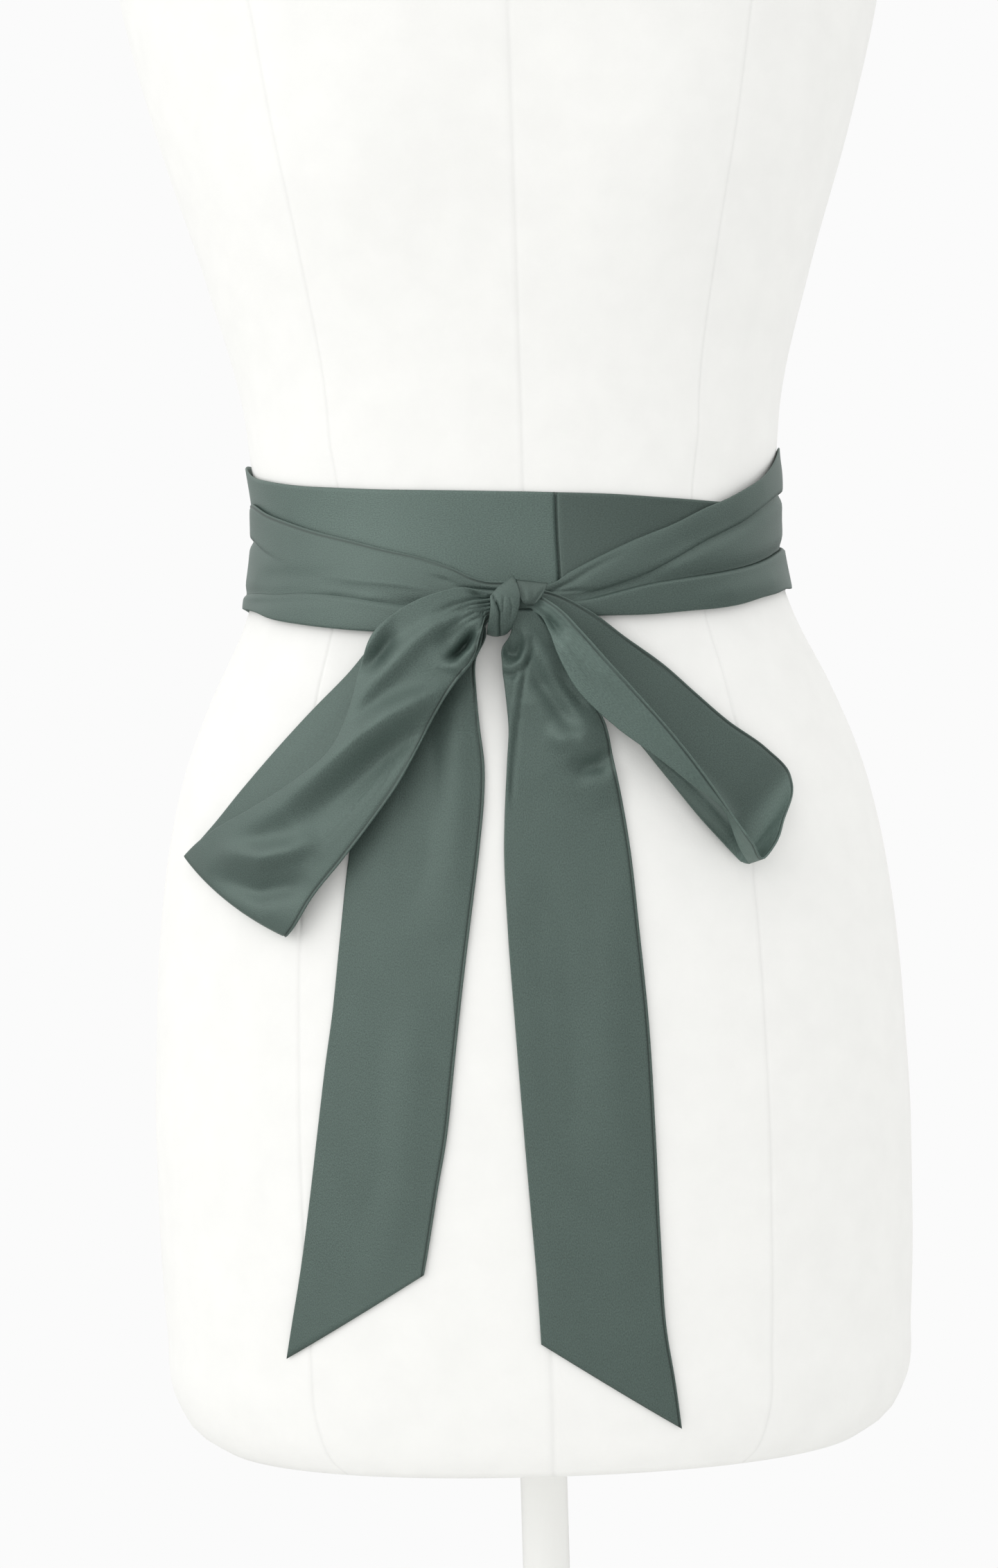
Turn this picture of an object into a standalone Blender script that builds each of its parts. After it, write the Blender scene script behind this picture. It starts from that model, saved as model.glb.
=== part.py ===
"""A satin sash, wound twice round the waist of a dress form and tied in a bow.

The form stands on a round base with its underside at z = 0. The front faces -Y, and +X is the
viewer's right. Tables are in millimetres and angles in degrees, as a cutter would note them.
"""

import math

import bmesh
import bpy
import numpy as np

MM = 0.001

# Cloth
WALL = 1.0
FORM_GAP = 0.7
LAYER_GAP = 0.8
LOOP_STEP = 10.0
TAIL_STEP = 16.0
WRAP_STEP = 6.5
BAND_STEPS = 3

# Dress form
SECTION_POWER = 2.2
FORM_SIDES = 40
FORM_ROW_STEP = 24.0
BUST_HEIGHT = 1150.0
BUST_SPREAD = 80.0
BUST_RELIEF = 9.0
BUST_WIDTH = 46.0

# Stand
POLE_RADIUS = 11.0
BASE_RADIUS = 200.0
BASE_EDGE = 9.0
SOCKET_RADIUS = 21.0
SOCKET_TOP = 46.0
STAND_SIDES = 48
MEET_GAP = 0.3

# Knot
KNOT_HEIGHT = 947.5
KNOT_OUT = 14.0
KNOT_HALF_DEPTH = 9.0
KNOT_HALF_HEIGHT = 11.6
KNOT_LEFT = -14.8
KNOT_RIGHT_TOP = -1.2
KNOT_RIGHT_BOTTOM = -5.0
KNOT_SWELL = 0.5
KNOT_FLAT = 6.0

# The form's sections: height, half width, depth in front and behind
FORM_ROWS = (
    (566, 150, 112, 112), (572, 160, 116, 118), (587, 170.3, 119, 124), (619, 174.2, 121, 130),
    (652, 176, 121.5, 135), (685, 176.6, 121.5, 139), (717, 176.8, 121, 142),
    (750, 175.6, 120, 143), (782, 174, 119, 140), (815, 171, 117.5, 134), (848, 166, 115.5, 126),
    (880, 158, 112.5, 116), (913, 145, 108.5, 106), (945, 129.5, 104, 97),
    (965, 122.9, 102, 93.5), (985, 119.7, 100, 91), (1005, 120.8, 98.8, 89.8),
    (1024, 123.5, 98, 89), (1043, 125.5, 98.5, 89), (1109, 142, 105, 93), (1174, 162, 112, 101),
    (1239, 178, 114, 108), (1285, 184, 110, 110), (1320, 183, 102, 107), (1338, 174, 95, 102),
    (1355, 152, 88, 95), (1372, 118, 78, 86), (1386, 84, 68, 77), (1400, 62, 60, 69),
    (1425, 55, 54, 62), (1452, 53, 53, 59), (1455, 51, 51, 57),
)

# First turn: angle, top edge, bottom edge, layer (0 next to the form, 1 over another)
FIRST_LEFT = (
    (-83.35, 998.1, 945, 0), (-95, 999.6, 942.5, 0), (-108, 1001.2, 941.3, 0),
    (-117, 1002.4, 941.5, 0), (-129, 1004.7, 943, 0), (-141, 1007.3, 946, 0),
    (-150, 1009.9, 949, 0), (-156, 1011.8, 951.5, 0), (-167, 1015.5, 955.5, 0),
    (-180, 1020.6, 961, 0), (-200, 1021, 972, 0), (-215, 1020, 981.3, 0),
)
FIRST_RIGHT = (
    (-83.24, 998.1, 945.3, 0), (-72.6, 997.1, 945.5, 0), (-60, 995.5, 947, 0),
    (-52.6, 994.8, 948.4, 0), (-44, 994.2, 950.5, 0), (-35, 994, 953.5, 0),
    (-20, 993, 957.8, 0), (0, 989, 958, 0), (20, 984, 949, 0), (38, 979.7, 942, 0),
)

# Where the turns pass at the back: angle, top edge, fold, bottom edge, layer
BACK_UPPER = (
    (38.2, 1020, 1001, 981, 1), (60, 1018.5, 999, 980.4, 0.6), (90, 1017.5, 1001, 980, 0.1),
    (120, 1018.5, 1003, 980.4, 0), (144.8, 1020, 1002, 981.2, 0),
)
BACK_LOWER = (
    (38.2, 979.7, 959, 942, 0), (60, 979, 957, 941, 0), (90, 978.6, 960, 940.5, 0.1),
    (120, 979, 963, 941, 0.6), (144.8, 979.7, 962, 942, 1),
)

# Second turn: angle, top edge, upper fold, lower fold, bottom edge, layer
SECOND_LEFT = (
    (-215, 979.7, 969, 955, 942, 1), (-200, 991, 979, 957, 947, 1),
    (-185, 1001, 986.5, 959, 952, 1), (-170, 1003.3, 986, 960, 953, 1),
    (-155, 996, 978, 959.5, 950.8, 1), (-149, 993, 974.5, 959, 948.5, 1),
    (-135.5, 985.8, 968, 958, 944, 1), (-125, 980.5, 964, 955.5, 941, 1),
    (-116, 975.4, 960.5, 952, 939, 1), (-108.6, 971.3, 958.5, 949.5, 938.2, 1),
    (-101.6, 965.7, 956, 948.5, 939.3, 1), (-98.4, 962, 954.5, 948.5, 940.3, 1),
    (-95.3, 959.6, 953.5, 948.5, 941.5, 1), (-91.5, 959, 953, 948.5, 943, 1),
)
SECOND_RIGHT = (
    (38, 1020, 1007, 994, 981, 1), (20, 1022, 1003, 984, 968, 1),
    (0, 1022.5, 1002, 977, 958.5, 1), (-10.8, 1018.5, 1000.5, 974.5, 956.5, 1),
    (-19, 1011.6, 996.6, 971.8, 955.5, 1), (-25, 1006.7, 992.8, 969.3, 953.5, 1),
    (-34.7, 999.8, 985.5, 965.4, 950.6, 1), (-42.3, 994.5, 980.5, 962.9, 947.6, 1),
    (-47.8, 991.1, 976.8, 961.3, 946, 1), (-57.9, 983, 968.2, 958.7, 944.3, 1),
    (-66.6, 976.8, 960.4, 956, 943, 1), (-74.3, 969.9, 955, 952.2, 942.9, 1),
    (-77.8, 966.3, 953, 950.4, 943, 1), (-81.2, 962.5, 952, 949.2, 943.6, 1),
    (-85, 957.3, 951.8, 949.2, 944.7, 1), (-88.5, 957, 952.5, 949.5, 945.5, 1),
)

# How far a stretch swells between its edges, and how deep its fold lines sink in. The swell
# is never more than a share of the stretch's height
SWELL_SHARE = 0.12
SWELL_ROUND = 0.6
FIRST_RELIEF = (0.3, 0.0)
BACK_RELIEF = (1.9, 1.5)
SECOND_LEFT_RELIEF = (2.1, 1.0)
SECOND_RIGHT_RELIEF = (2.2, 1.4)

# A strip in front of the form, row by row: edge A's x, z and clearance, then edge B's
LOOP_LEFT = (
    (-8.5, 953.5, 16.5, -8.5, 945, 16), (-15, 954, 17, -14.5, 943.5, 17),
    (-23.5, 956, 20, -17, 936.5, 19), (-34.5, 954.5, 22, -20.5, 925.5, 19),
    (-50.5, 948.5, 23, -27, 917, 18), (-64, 938, 22, -33, 909, 17),
    (-70.5, 923, 21, -39.5, 898.5, 16), (-75.5, 905.5, 19, -47, 885, 15),
    (-84, 888, 17, -55, 871.5, 14), (-100, 875, 15, -67, 855.5, 13),
    (-120.5, 863, 13, -80.5, 839, 12), (-141, 852.5, 11, -95, 822, 11),
    (-151.5, 845, 8.5, -104, 808.5, 9), (-155.5, 841.5, 5.5, -107, 805.5, 6),
    (-152.5, 844, 3, -107, 807, 3), (-142.5, 853.5, 2.2, -100, 820, 2.6),
    (-126.5, 871, 2.4, -86.5, 838, 3.2), (-109.5, 889, 2.6, -73, 856, 3.6),
    (-93.5, 905, 3, -61, 873, 4), (-77.5, 920, 4.2, -50, 889, 4.6),
    (-68, 930.5, 6.6, -34.5, 909, 6), (-56.5, 943.5, 9, -23, 921.5, 8.5),
    (-36.5, 952, 10, -18, 929.5, 10.5), (-16.5, 952, 10.5, -14, 941, 10),
    (-8.5, 951.5, 10.5, -8.5, 945, 9.5),
)
LOOP_RIGHT = (
    (-3, 955.5, 10, -3, 946, 9.5), (14, 953.5, 8.6, 12, 944, 8.6), (30.5, 945, 8.4, 20, 930.5, 7),
    (45.5, 933.5, 6, 32, 915.5, 4.5), (63.5, 920, 3.5, 44, 894.5, 3.5),
    (77, 907.5, 3, 55, 880, 3), (91, 895, 3, 66, 865.5, 3), (108, 882.5, 3, 77, 851.5, 3),
    (118.8, 869.5, 4, 88.5, 838.5, 3), (118.5, 861, 10, 93.5, 833, 5),
    (114, 851.5, 15, 94.5, 832.5, 6), (110, 842, 20, 95.5, 832, 7),
    (103.5, 834.5, 23, 97, 832, 9), (98.5, 841, 25, 93, 839, 13),
    (92, 850, 24, 87, 855, 16), (80.5, 868.5, 21, 73.5, 866.5, 17),
    (66, 888.5, 20, 56.5, 880.5, 17), (51.5, 906, 20, 40.5, 895, 17),
    (37, 923, 21, 25.5, 912, 18), (26.5, 935.5, 21, 18, 928.5, 18),
    (18, 945, 19, 14, 936.5, 16), (9, 951.5, 17, 10, 943, 15.5), (-3, 957, 16.5, -3, 946.5, 15.5),
)
TAIL_LEFT = (
    (-24, 939.5, 4.6, -15.8, 941.5, 4.6), (-25.5, 934, 3.8, -15, 936, 4.6),
    (-29.5, 923, 2, -20, 924, 3), (-34.5, 914, 1.2, -20, 910, 2), (-50, 902, 0.8, -19, 895, 1.5),
    (-64.5, 884, 0.8, -17.5, 879.5, 1), (-74, 863, 0.8, -18, 864.5, 1),
    (-78.5, 839, 0.8, -20.5, 843.5, 1), (-83.5, 802.5, 0.8, -25.5, 810.5, 1),
    (-87.5, 772, 0.8, -30, 780.5, 1), (-91.5, 748, 0.8, -34.5, 747.5, 1),
    (-96, 717.5, 0.8, -38.5, 717.5, 1), (-100.5, 687, 0.8, -43, 695, 1),
    (-105.5, 656.5, 0.8, -46.7, 675.5, 1), (-109.5, 636, 0.9, -48.9, 664, 1),
    (-112.8, 618.8, 1, -50.4, 657, 1),
)
TAIL_RIGHT = (
    (1, 945.5, 18.3, 5, 945.5, 18.3), (0.5, 938, 14.5, 9.5, 938, 15.5),
    (-1.5, 934, 11.5, 14, 934.5, 12.5), (-7.5, 930, 9, 18.5, 930, 10.5),
    (-8.5, 922, 7, 22.5, 920.5, 8), (-7.5, 910, 5, 28.5, 909, 6), (-6.5, 894.5, 3, 36, 895, 4),
    (-7.5, 881, 2, 39, 879.5, 3), (-9, 861.5, 1, 42.5, 860, 1.5), (-10, 843, 0.8, 45, 841.5, 1),
    (-9.5, 807, 0.8, 48, 805, 1), (-7.5, 764.5, 0.8, 51, 762.5, 1),
    (-5, 716.5, 0.8, 52.5, 710, 1), (-3, 682, 0.8, 53.3, 667, 1),
    (-1.4, 655, 0.8, 54.8, 629, 1), (-0.7, 638, 0.8, 58, 606, 1),
    (-0.3, 625.8, 0.9, 60.2, 585.8, 1),
)
KNOT_FLAP = (
    (-0.6, 959, 18.6, 12.5, 957, 16.4), (0, 955.5, 21.6, 11.5, 954.5, 19.2),
    (0.6, 951.5, 22.6, 9.5, 951, 20.8), (1.5, 948.5, 22.4, 7.5, 948.4, 21.2),
    (3, 947, 21.6, 6, 946.8, 21.2),
)

# Ridges (height over 0) and troughs (under 0): x and z of both ends, height, half width
LOOP_LEFT_FOLDS = (
    (-38, 939, -53.5, 926, 2.8, 5.5), (-53.5, 926, -69, 910.5, 3, 5.5),
    (-69, 910.5, -83.5, 890.5, 2.6, 5.5), (-28, 914.5, -46.5, 906, 2.2, 5),
    (-46.5, 906, -70, 893.5, 3, 5.5), (-70, 893.5, -93, 874.5, 3, 6),
    (-93, 874.5, -109, 862.5, 2.2, 6), (-58.5, 935.5, -67, 929, -4, 5),
    (-100, 837.5, -118, 833, -4, 6.5), (-118, 833, -137, 839, -3.2, 6),
)
TAIL_RIGHT_FOLDS = (
    (5, 914.5, 13.5, 899, -2.8, 5.5), (13.5, 899, 22.5, 883.5, -2.8, 5.5),
    (22.5, 883.5, 31, 873, -2.2, 5.5), (14, 915, 26, 899.5, -1.8, 4),
    (28, 893.5, 30.5, 878.5, 2.4, 5), (-6, 916, -6.5, 880, 1.6, 4),
)
TAIL_LEFT_FOLDS = ((-28.5, 910.5, -29.5, 874, 1.4, 9), (-29.5, 874, -32, 834.5, 1, 9))
NO_FOLDS = ()


def smooth_rows(rows, step, along=None):
    """Rows of a table, with more between them on a smooth curve through all columns.

    Along is the column that measures the way, or None for the strip's middle line.
    """
    rows = np.array(rows, float)
    if along is None:
        middle = (rows[:, :3] + rows[:, 3:6]) / 2
        way = np.concatenate([[0], np.cumsum(np.linalg.norm(np.diff(middle, axis=0), axis=1))])
    else:
        way = np.abs(rows[:, along] - rows[0, along])
    counts = np.maximum(1, np.ceil(np.diff(way) / step).astype(int))
    places = [np.linspace(way[i], way[i + 1], n, endpoint=False) for i, n in enumerate(counts)]
    at = np.append(np.concatenate(places), way[-1])
    slopes = np.gradient(rows, way, axis=0)
    i = np.clip(np.searchsorted(way, at, side="right") - 1, 0, len(way) - 2)
    span = (way[i + 1] - way[i])[:, None]
    t = (at - way[i])[:, None] / span
    return (
        (2 * t**3 - 3 * t**2 + 1) * rows[i]
        + (t**3 - 2 * t**2 + t) * span * slopes[i]
        + (3 * t**2 - 2 * t**3) * rows[i + 1]
        + (t**3 - t**2) * span * slopes[i + 1]
    )


FORM_CURVE = smooth_rows(FORM_ROWS, 4.0, along=0)


def form_size(z):
    """Half width, front depth and back depth of the form at heights z."""
    return [np.interp(z, FORM_CURVE[:, 0], FORM_CURVE[:, k]) for k in (1, 2, 3)]


def bust(x, z):
    """Two low mounds on the chest."""
    across = (np.abs(x) - BUST_SPREAD) / BUST_WIDTH
    up = (z - BUST_HEIGHT) / BUST_WIDTH
    return BUST_RELIEF * np.exp(-(across**2) - up**2)


def front_depth(x, z):
    """How far the form's front stands out at x, z: a superellipse in plan."""
    half, front, _ = form_size(z)
    share = np.minimum(1, np.abs(x) / half) ** SECTION_POWER
    return front * (1 - share) ** (1 / SECTION_POWER) + bust(x, z)


def on_form(angle, z, lift):
    """Points on the form at angles in degrees, moved out level by lift."""
    half, front, back = form_size(z)
    turn = np.radians(angle)
    c, s = np.cos(turn), np.sin(turn)
    depth = np.where(s < 0, front, back)
    x = half * np.sign(c) * np.abs(c) ** (2 / SECTION_POWER)
    y = depth * np.sign(s) * np.abs(s) ** (2 / SECTION_POWER)
    out = np.stack([
        np.sign(x) * np.abs(x / half) ** (SECTION_POWER - 1) / half,
        np.sign(y) * np.abs(y / depth) ** (SECTION_POWER - 1) / depth,
    ])
    out = out / np.linalg.norm(out, axis=0)
    y = y - np.where(s < 0, bust(x, z), 0)
    return np.stack([x + lift * out[0], y + lift * out[1], z], axis=-1)


def grid_faces(rows, columns, closed=False):
    """Quads of a grid of points stored row by row; closed joins the last row to the first."""
    faces = []
    for i in range(rows if closed else rows - 1):
        for j in range(columns - 1):
            a = i * columns + j
            b = (i + 1) % rows * columns + j
            faces.append((a, a + 1, b + 1, b))
    return faces


def make_object(name, points, faces, material, collection):
    """A smooth-shaded mesh object from points in millimetres."""
    mesh = bpy.data.meshes.new(name)
    mesh.from_pydata((np.reshape(points, (-1, 3)) * MM).tolist(), [], faces)
    mesh.shade_smooth()
    mesh.materials.append(material)
    obj = bpy.data.objects.new(name, mesh)
    collection.objects.link(obj)
    return obj


def cloth_wall(name, points, side, material, collection, closed=False):
    """A grid of points given the cloth's wall; side 1, 0 or -1 says where the wall lies."""
    rows, columns, _ = points.shape
    faces = grid_faces(rows, columns, closed)
    obj = make_object(name, points, faces, material, collection)
    solidify = obj.modifiers.new("wall", "SOLIDIFY")
    solidify.thickness = WALL * MM
    solidify.offset = side
    return obj


def wrap(name, table, relief, material, collection):
    """A stretch of the sash round the waist, pleated between its edges and fold lines."""
    swell, sink = relief
    rows = smooth_rows(table, WRAP_STEP, along=0)
    angle = rows[:, 0]
    lift = FORM_GAP + rows[:, -1] * (WALL + LAYER_GAP)
    from_knot = np.clip((np.abs(angle + 90) - KNOT_FLAT) / KNOT_FLAT, 0, 1)
    top, edges = rows[:, 1], rows[:, 1:-1].T
    tall = top - edges[-1]
    bands = len(edges) - 1
    heights, reliefs = [], []
    for place in range(bands * BAND_STEPS + 1):
        band = min(place // BAND_STEPS, bands - 1)
        t = place / BAND_STEPS - band
        height = edges[band] + (edges[band + 1] - edges[band]) * t
        share = np.clip((top - height) / tall, 0, 1)
        out = np.minimum(swell, SWELL_SHARE * tall) * (4 * share * (1 - share)) ** SWELL_ROUND
        sunk = sink * (1 - (4 * t * (1 - t)) ** SWELL_ROUND)
        heights.append(height)
        reliefs.append(np.maximum(out - sunk, 0) * from_knot)
    z = np.stack(heights, axis=1)
    points = on_form(angle[:, None] + 0 * z, z, lift[:, None] + np.stack(reliefs, axis=1))
    outward = -1 if angle[-1] < angle[0] else 1
    return cloth_wall(name, points[:, ::outward], 1, material, collection)


def fold_relief(x, z, folds):
    """The largest ridge and the deepest trough of the folds near each point."""
    relief = np.zeros_like(x)
    ridge, trough = relief.copy(), relief.copy()
    for x1, z1, x2, z2, height, width in folds:
        run = np.array([x2 - x1, z2 - z1])
        t = np.clip(((x - x1) * run[0] + (z - z1) * run[1]) / (run @ run), 0, 1)
        away = np.hypot(x - x1 - t * run[0], z - z1 - t * run[1]) / width
        bump = height * np.exp(-(away**2))
        ridge = np.maximum(ridge, bump)
        trough = np.minimum(trough, bump)
    return ridge + trough


def strip(table, folds, step, across, folded_share=1.0):
    """A grid of points for a strip in front of the form, from its table of edges.

    The folds lie on the first part of the strip's length, up to folded_share of it.
    """
    rows = smooth_rows(table, step)
    t = np.linspace(0, 1, across)
    x, z, out = [rows[:, [k]] + (rows[:, [k + 3]] - rows[:, [k]]) * t for k in range(3)]
    on_share = (np.arange(len(rows)) < folded_share * len(rows))[:, None]
    out = out + fold_relief(x, z, folds) * on_share
    return np.stack([x, -front_depth(x, z) - out, z], axis=-1)[:, ::-1]


def make_material(name, colour, roughness, metallic=0.0):
    material = bpy.data.materials.new(name)
    material.use_nodes = True
    shader = material.node_tree.nodes["Principled BSDF"]
    shader.inputs["Base Color"].default_value = (*colour, 1)
    shader.inputs["Roughness"].default_value = roughness
    shader.inputs["Metallic"].default_value = metallic
    return material


def make_torso(material, collection):
    """The torso: a closed loft through the form's sections."""
    rows = smooth_rows(FORM_ROWS, FORM_ROW_STEP, along=0)
    angles = np.linspace(0, 360, FORM_SIDES, endpoint=False)[:, None]
    points = on_form(angles + 0 * rows[:, 0], rows[:, 0] + 0 * angles, 0.0)
    count = len(rows)
    faces = [face[::-1] for face in grid_faces(FORM_SIDES, count, closed=True)]
    faces.append([side * count for side in reversed(range(FORM_SIDES))])
    faces.append([side * count + count - 1 for side in range(FORM_SIDES)])
    obj = make_object("form_torso", points, [tuple(face) for face in faces], material, collection)
    shape = bmesh.new()
    shape.from_mesh(obj.data)
    bmesh.ops.recalc_face_normals(shape, faces=shape.faces)
    shape.to_mesh(obj.data)
    shape.free()
    return obj


def make_pole(material, collection):
    """The steel pole between the base's socket and the torso."""
    bottom = SOCKET_TOP + MEET_GAP
    top = FORM_ROWS[0][0] - MEET_GAP
    bpy.ops.mesh.primitive_cylinder_add(
        vertices=24,
        radius=POLE_RADIUS * MM,
        depth=(top - bottom) * MM,
        location=(0, 0, (top + bottom) / 2 * MM),
    )
    obj = bpy.context.object
    obj.name = "form_pole"
    obj.data.name = "form_pole"
    obj.data.shade_smooth()
    obj.data.set_sharp_from_angle(angle=math.radians(40))
    obj.data.materials.append(material)
    for holder in list(obj.users_collection):
        holder.objects.unlink(obj)
    collection.objects.link(obj)
    return obj


def make_base(material, collection):
    """The round base with the pole's socket, turned from a half profile."""
    profile = (
        (0, SOCKET_TOP), (SOCKET_RADIUS - 3, SOCKET_TOP), (SOCKET_RADIUS, SOCKET_TOP - 3),
        (SOCKET_RADIUS + 1, 30), (SOCKET_RADIUS + 8, 22), (SOCKET_RADIUS + 24, 18.5),
        (BASE_RADIUS - 30, BASE_EDGE + 5), (BASE_RADIUS - 6, BASE_EDGE + 2),
        (BASE_RADIUS - 1, BASE_EDGE - 1.5), (BASE_RADIUS, BASE_EDGE - 5),
        (BASE_RADIUS - 1.5, 0), (0, 0),
    )
    points = [(x, 0, z) for x, z in profile]
    mesh = bpy.data.meshes.new("form_base")
    edges = [(i, i + 1) for i in range(len(points) - 1)]
    mesh.from_pydata((np.array(points) * MM).tolist(), edges, [])
    mesh.materials.append(material)
    obj = bpy.data.objects.new("form_base", mesh)
    collection.objects.link(obj)
    screw = obj.modifiers.new("turn", "SCREW")
    screw.steps = STAND_SIDES
    screw.render_steps = STAND_SIDES
    screw.use_merge_vertices = True
    screw.merge_threshold = 0.00001
    return obj


def make_knot_band(material, collection):
    """The strand round the knot: an open ring across the gathered ends."""
    turn = np.linspace(0, 2 * math.pi, 28, endpoint=False)[:, None]
    t = np.linspace(0, 1, 6)[None, :]
    lower = (1 - np.sin(turn)) / 2
    right = KNOT_RIGHT_TOP + (KNOT_RIGHT_BOTTOM - KNOT_RIGHT_TOP) * lower
    x = KNOT_LEFT + (right - KNOT_LEFT) * t
    swell = KNOT_SWELL * np.sin(math.pi * t)
    z = KNOT_HEIGHT + (KNOT_HALF_HEIGHT + swell) * np.sin(turn)
    out = KNOT_OUT + (KNOT_HALF_DEPTH + swell) * np.cos(turn)
    middle = front_depth(np.array(KNOT_LEFT / 2), np.array(KNOT_HEIGHT))
    points = np.stack([x, -middle - out, z], axis=-1)
    return cloth_wall("knot_band", points, 0, material, collection, closed=True)


def clear_scene():
    for obj in list(bpy.data.objects):
        bpy.data.objects.remove(obj)


def main():
    clear_scene()
    collection = bpy.data.collections.new("satin_sash")
    bpy.context.scene.collection.children.link(collection)
    satin = make_material("sage satin", (0.13, 0.175, 0.155), 0.38)
    canvas = make_material("white canvas", (0.86, 0.85, 0.84), 0.75)
    paint = make_material("white painted steel", (0.85, 0.85, 0.84), 0.45)

    make_torso(canvas, collection)
    make_pole(paint, collection)
    make_base(paint, collection)

    wrap("first_wrap_left", FIRST_LEFT, FIRST_RELIEF, satin, collection)
    wrap("first_wrap_right", FIRST_RIGHT, FIRST_RELIEF, satin, collection)
    wrap("back_upper", BACK_UPPER, BACK_RELIEF, satin, collection)
    wrap("back_lower", BACK_LOWER, BACK_RELIEF, satin, collection)
    wrap("wrap_left", SECOND_LEFT, SECOND_LEFT_RELIEF, satin, collection)
    wrap("wrap_right", SECOND_RIGHT, SECOND_RIGHT_RELIEF, satin, collection)

    make_knot_band(satin, collection)
    cloth_wall("knot_flap", strip(KNOT_FLAP, NO_FOLDS, LOOP_STEP, 5), 1, satin, collection)
    loop_left = strip(LOOP_LEFT, LOOP_LEFT_FOLDS, LOOP_STEP, 7, folded_share=0.52)
    cloth_wall("loop_left", loop_left, 0, satin, collection)
    loop_right = strip(LOOP_RIGHT, NO_FOLDS, LOOP_STEP, 6)
    cloth_wall("loop_right", loop_right, 0, satin, collection)
    tail_left = strip(TAIL_LEFT, TAIL_LEFT_FOLDS, TAIL_STEP, 6)
    cloth_wall("tail_left", tail_left, 1, satin, collection)
    tail_right = strip(TAIL_RIGHT, TAIL_RIGHT_FOLDS, TAIL_STEP, 8)
    cloth_wall("tail_right", tail_right, 1, satin, collection)


main()
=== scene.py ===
"""The looks of a satin sash, wound twice round a white dress form and tied in a bow.

The form stands on the floor with its pole on the Z axis. Its front faces -Y, and +X is the viewer's
right. Tables are in millimetres and angles in degrees, as a cutter would note them.
"""

import math

import bpy
import numpy as np
from mathutils import Euler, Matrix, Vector


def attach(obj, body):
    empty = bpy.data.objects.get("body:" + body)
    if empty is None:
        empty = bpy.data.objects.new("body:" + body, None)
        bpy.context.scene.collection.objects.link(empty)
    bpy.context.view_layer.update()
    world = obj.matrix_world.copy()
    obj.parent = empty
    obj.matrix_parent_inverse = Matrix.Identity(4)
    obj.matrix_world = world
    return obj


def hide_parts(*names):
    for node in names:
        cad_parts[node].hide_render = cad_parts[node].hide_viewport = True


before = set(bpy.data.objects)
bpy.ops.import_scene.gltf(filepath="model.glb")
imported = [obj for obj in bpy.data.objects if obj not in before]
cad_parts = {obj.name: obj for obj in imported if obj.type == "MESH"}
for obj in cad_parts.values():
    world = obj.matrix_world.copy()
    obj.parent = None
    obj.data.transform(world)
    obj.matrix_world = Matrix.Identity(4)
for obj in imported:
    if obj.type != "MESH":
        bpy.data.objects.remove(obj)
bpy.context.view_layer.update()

bl_info = {
    "name": "Satin sash on a dress form",
    "version": (1, 0, 0),
    "blender": (4, 5, 0),
    "location": "3D View > Sidebar > Sash",
    "description": "Builds a tied satin sash, the dress form that it is on, and a studio",
    "category": "Object",
}

MM = 0.001

# Cloth
WALL = 1.0
FORM_GAP = 0.7
LAYER_GAP = 0.8
LEAST_OUT = 0.8
SASH_WIDTH = 59.0
FLAP_WIDTH = 13.0
EDGE_ROUND = 0.5
SEAM_WIDTH = 0.4
SEAM_DEPTH = 0.34
STRIP_STEP = 1.7
WRAP_STEP = 0.75
EDGE_PLACES = (0, 0.15, 0.5, 0.95, 1.25, 1.5, 1.9, 2.8)
INNER_COLUMNS = 28
BAND_COLUMNS = 18
WAIST_RADIUS = 110.0
SWELL_SHARE = 0.12
FOLDS_FADE = 0.03

# Painted light and shade: a factor on the satin's colour that paints a stretch lighter or darker as
# light falls.
# It is set for this light alone
LEFT_PAINTED_LIGHT = 1.2
RIGHT_PAINTED_LIGHT = 0.72
WRAP_PAINTED_LIGHT = 0.88
KNOT_PAINTED_LIGHT = 0.84
FLAP_PAINTED_LIGHT = 0.66
BEHIND_PAINTED_LIGHT = 0.88
BEFORE_PAINTED_LIGHT = 1.3

# Dress form
SECTION_POWER = 2.2
BUST_HEIGHT = 1150.0
BUST_SPREAD = 80.0
BUST_RELIEF = 9.0
BUST_WIDTH = 46.0
FORM_STEP = 4.0
TORSO_STEP = 5.0
CAP_RINGS = (0, 0.3, 0.7, 0.97)

# Stand. The base's outline is given by the radius and height of its corners
POLE_RADIUS = 11.0
POLE_ROUND = 0.6
POLE_ROWS = 40
POLE_STEPS = 64
SOCKET_TOP = 46.0
MEET_GAP = 0.3
BASE_ROUND = 6.0
BASE_STEPS = 128
BASE_CORNERS = (
    (198.5, 0), (200, 4), (198, 10.5), (170, 14), (45, 18.5), (27, 23), (21.5, 32),
    (21, SOCKET_TOP), (17, SOCKET_TOP),
)

# Knot. The turn of its strand is in half circles, from the strand's foot to its end
KNOT_MIDDLE = -7.4
KNOT_HEIGHT = 947.5
KNOT_OUT = 14.0
KNOT_HALF_DEPTH = 9.0
KNOT_HALF_HEIGHT = 11.6
KNOT_FLAT = 6.0
KNOT_TURN = (-0.52, 1.46)
KNOT_STEPS = 150
KNOT_WIDTH = 14.0
KNOT_SWELL = 1.2
KNOT_SWELL_POWER = 0.7

# Light: where the soft light stands, its size and what it faces, in metres. Then the side of the
# room that is dim, how wide its core and its edge are, its share of the light as gloss mirrors
# it and as matt surfaces gather it, and the floor's share as gloss mirrors it
KEY_PLACE = (-2.1, -1.5, 1.8)
KEY_SIZE = (1.8, 1.8)
LIGHT_AIM = (0, 0, 0.9)
DIM_SIDE = (0.78, -0.56, -0.28)
DIM_CORE = 22.0
DIM_EDGE = 72.0
DIM_SHARE = 0.1
MATT_SHARE = 0.93
FLOOR_SHARE = 0.3

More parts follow.
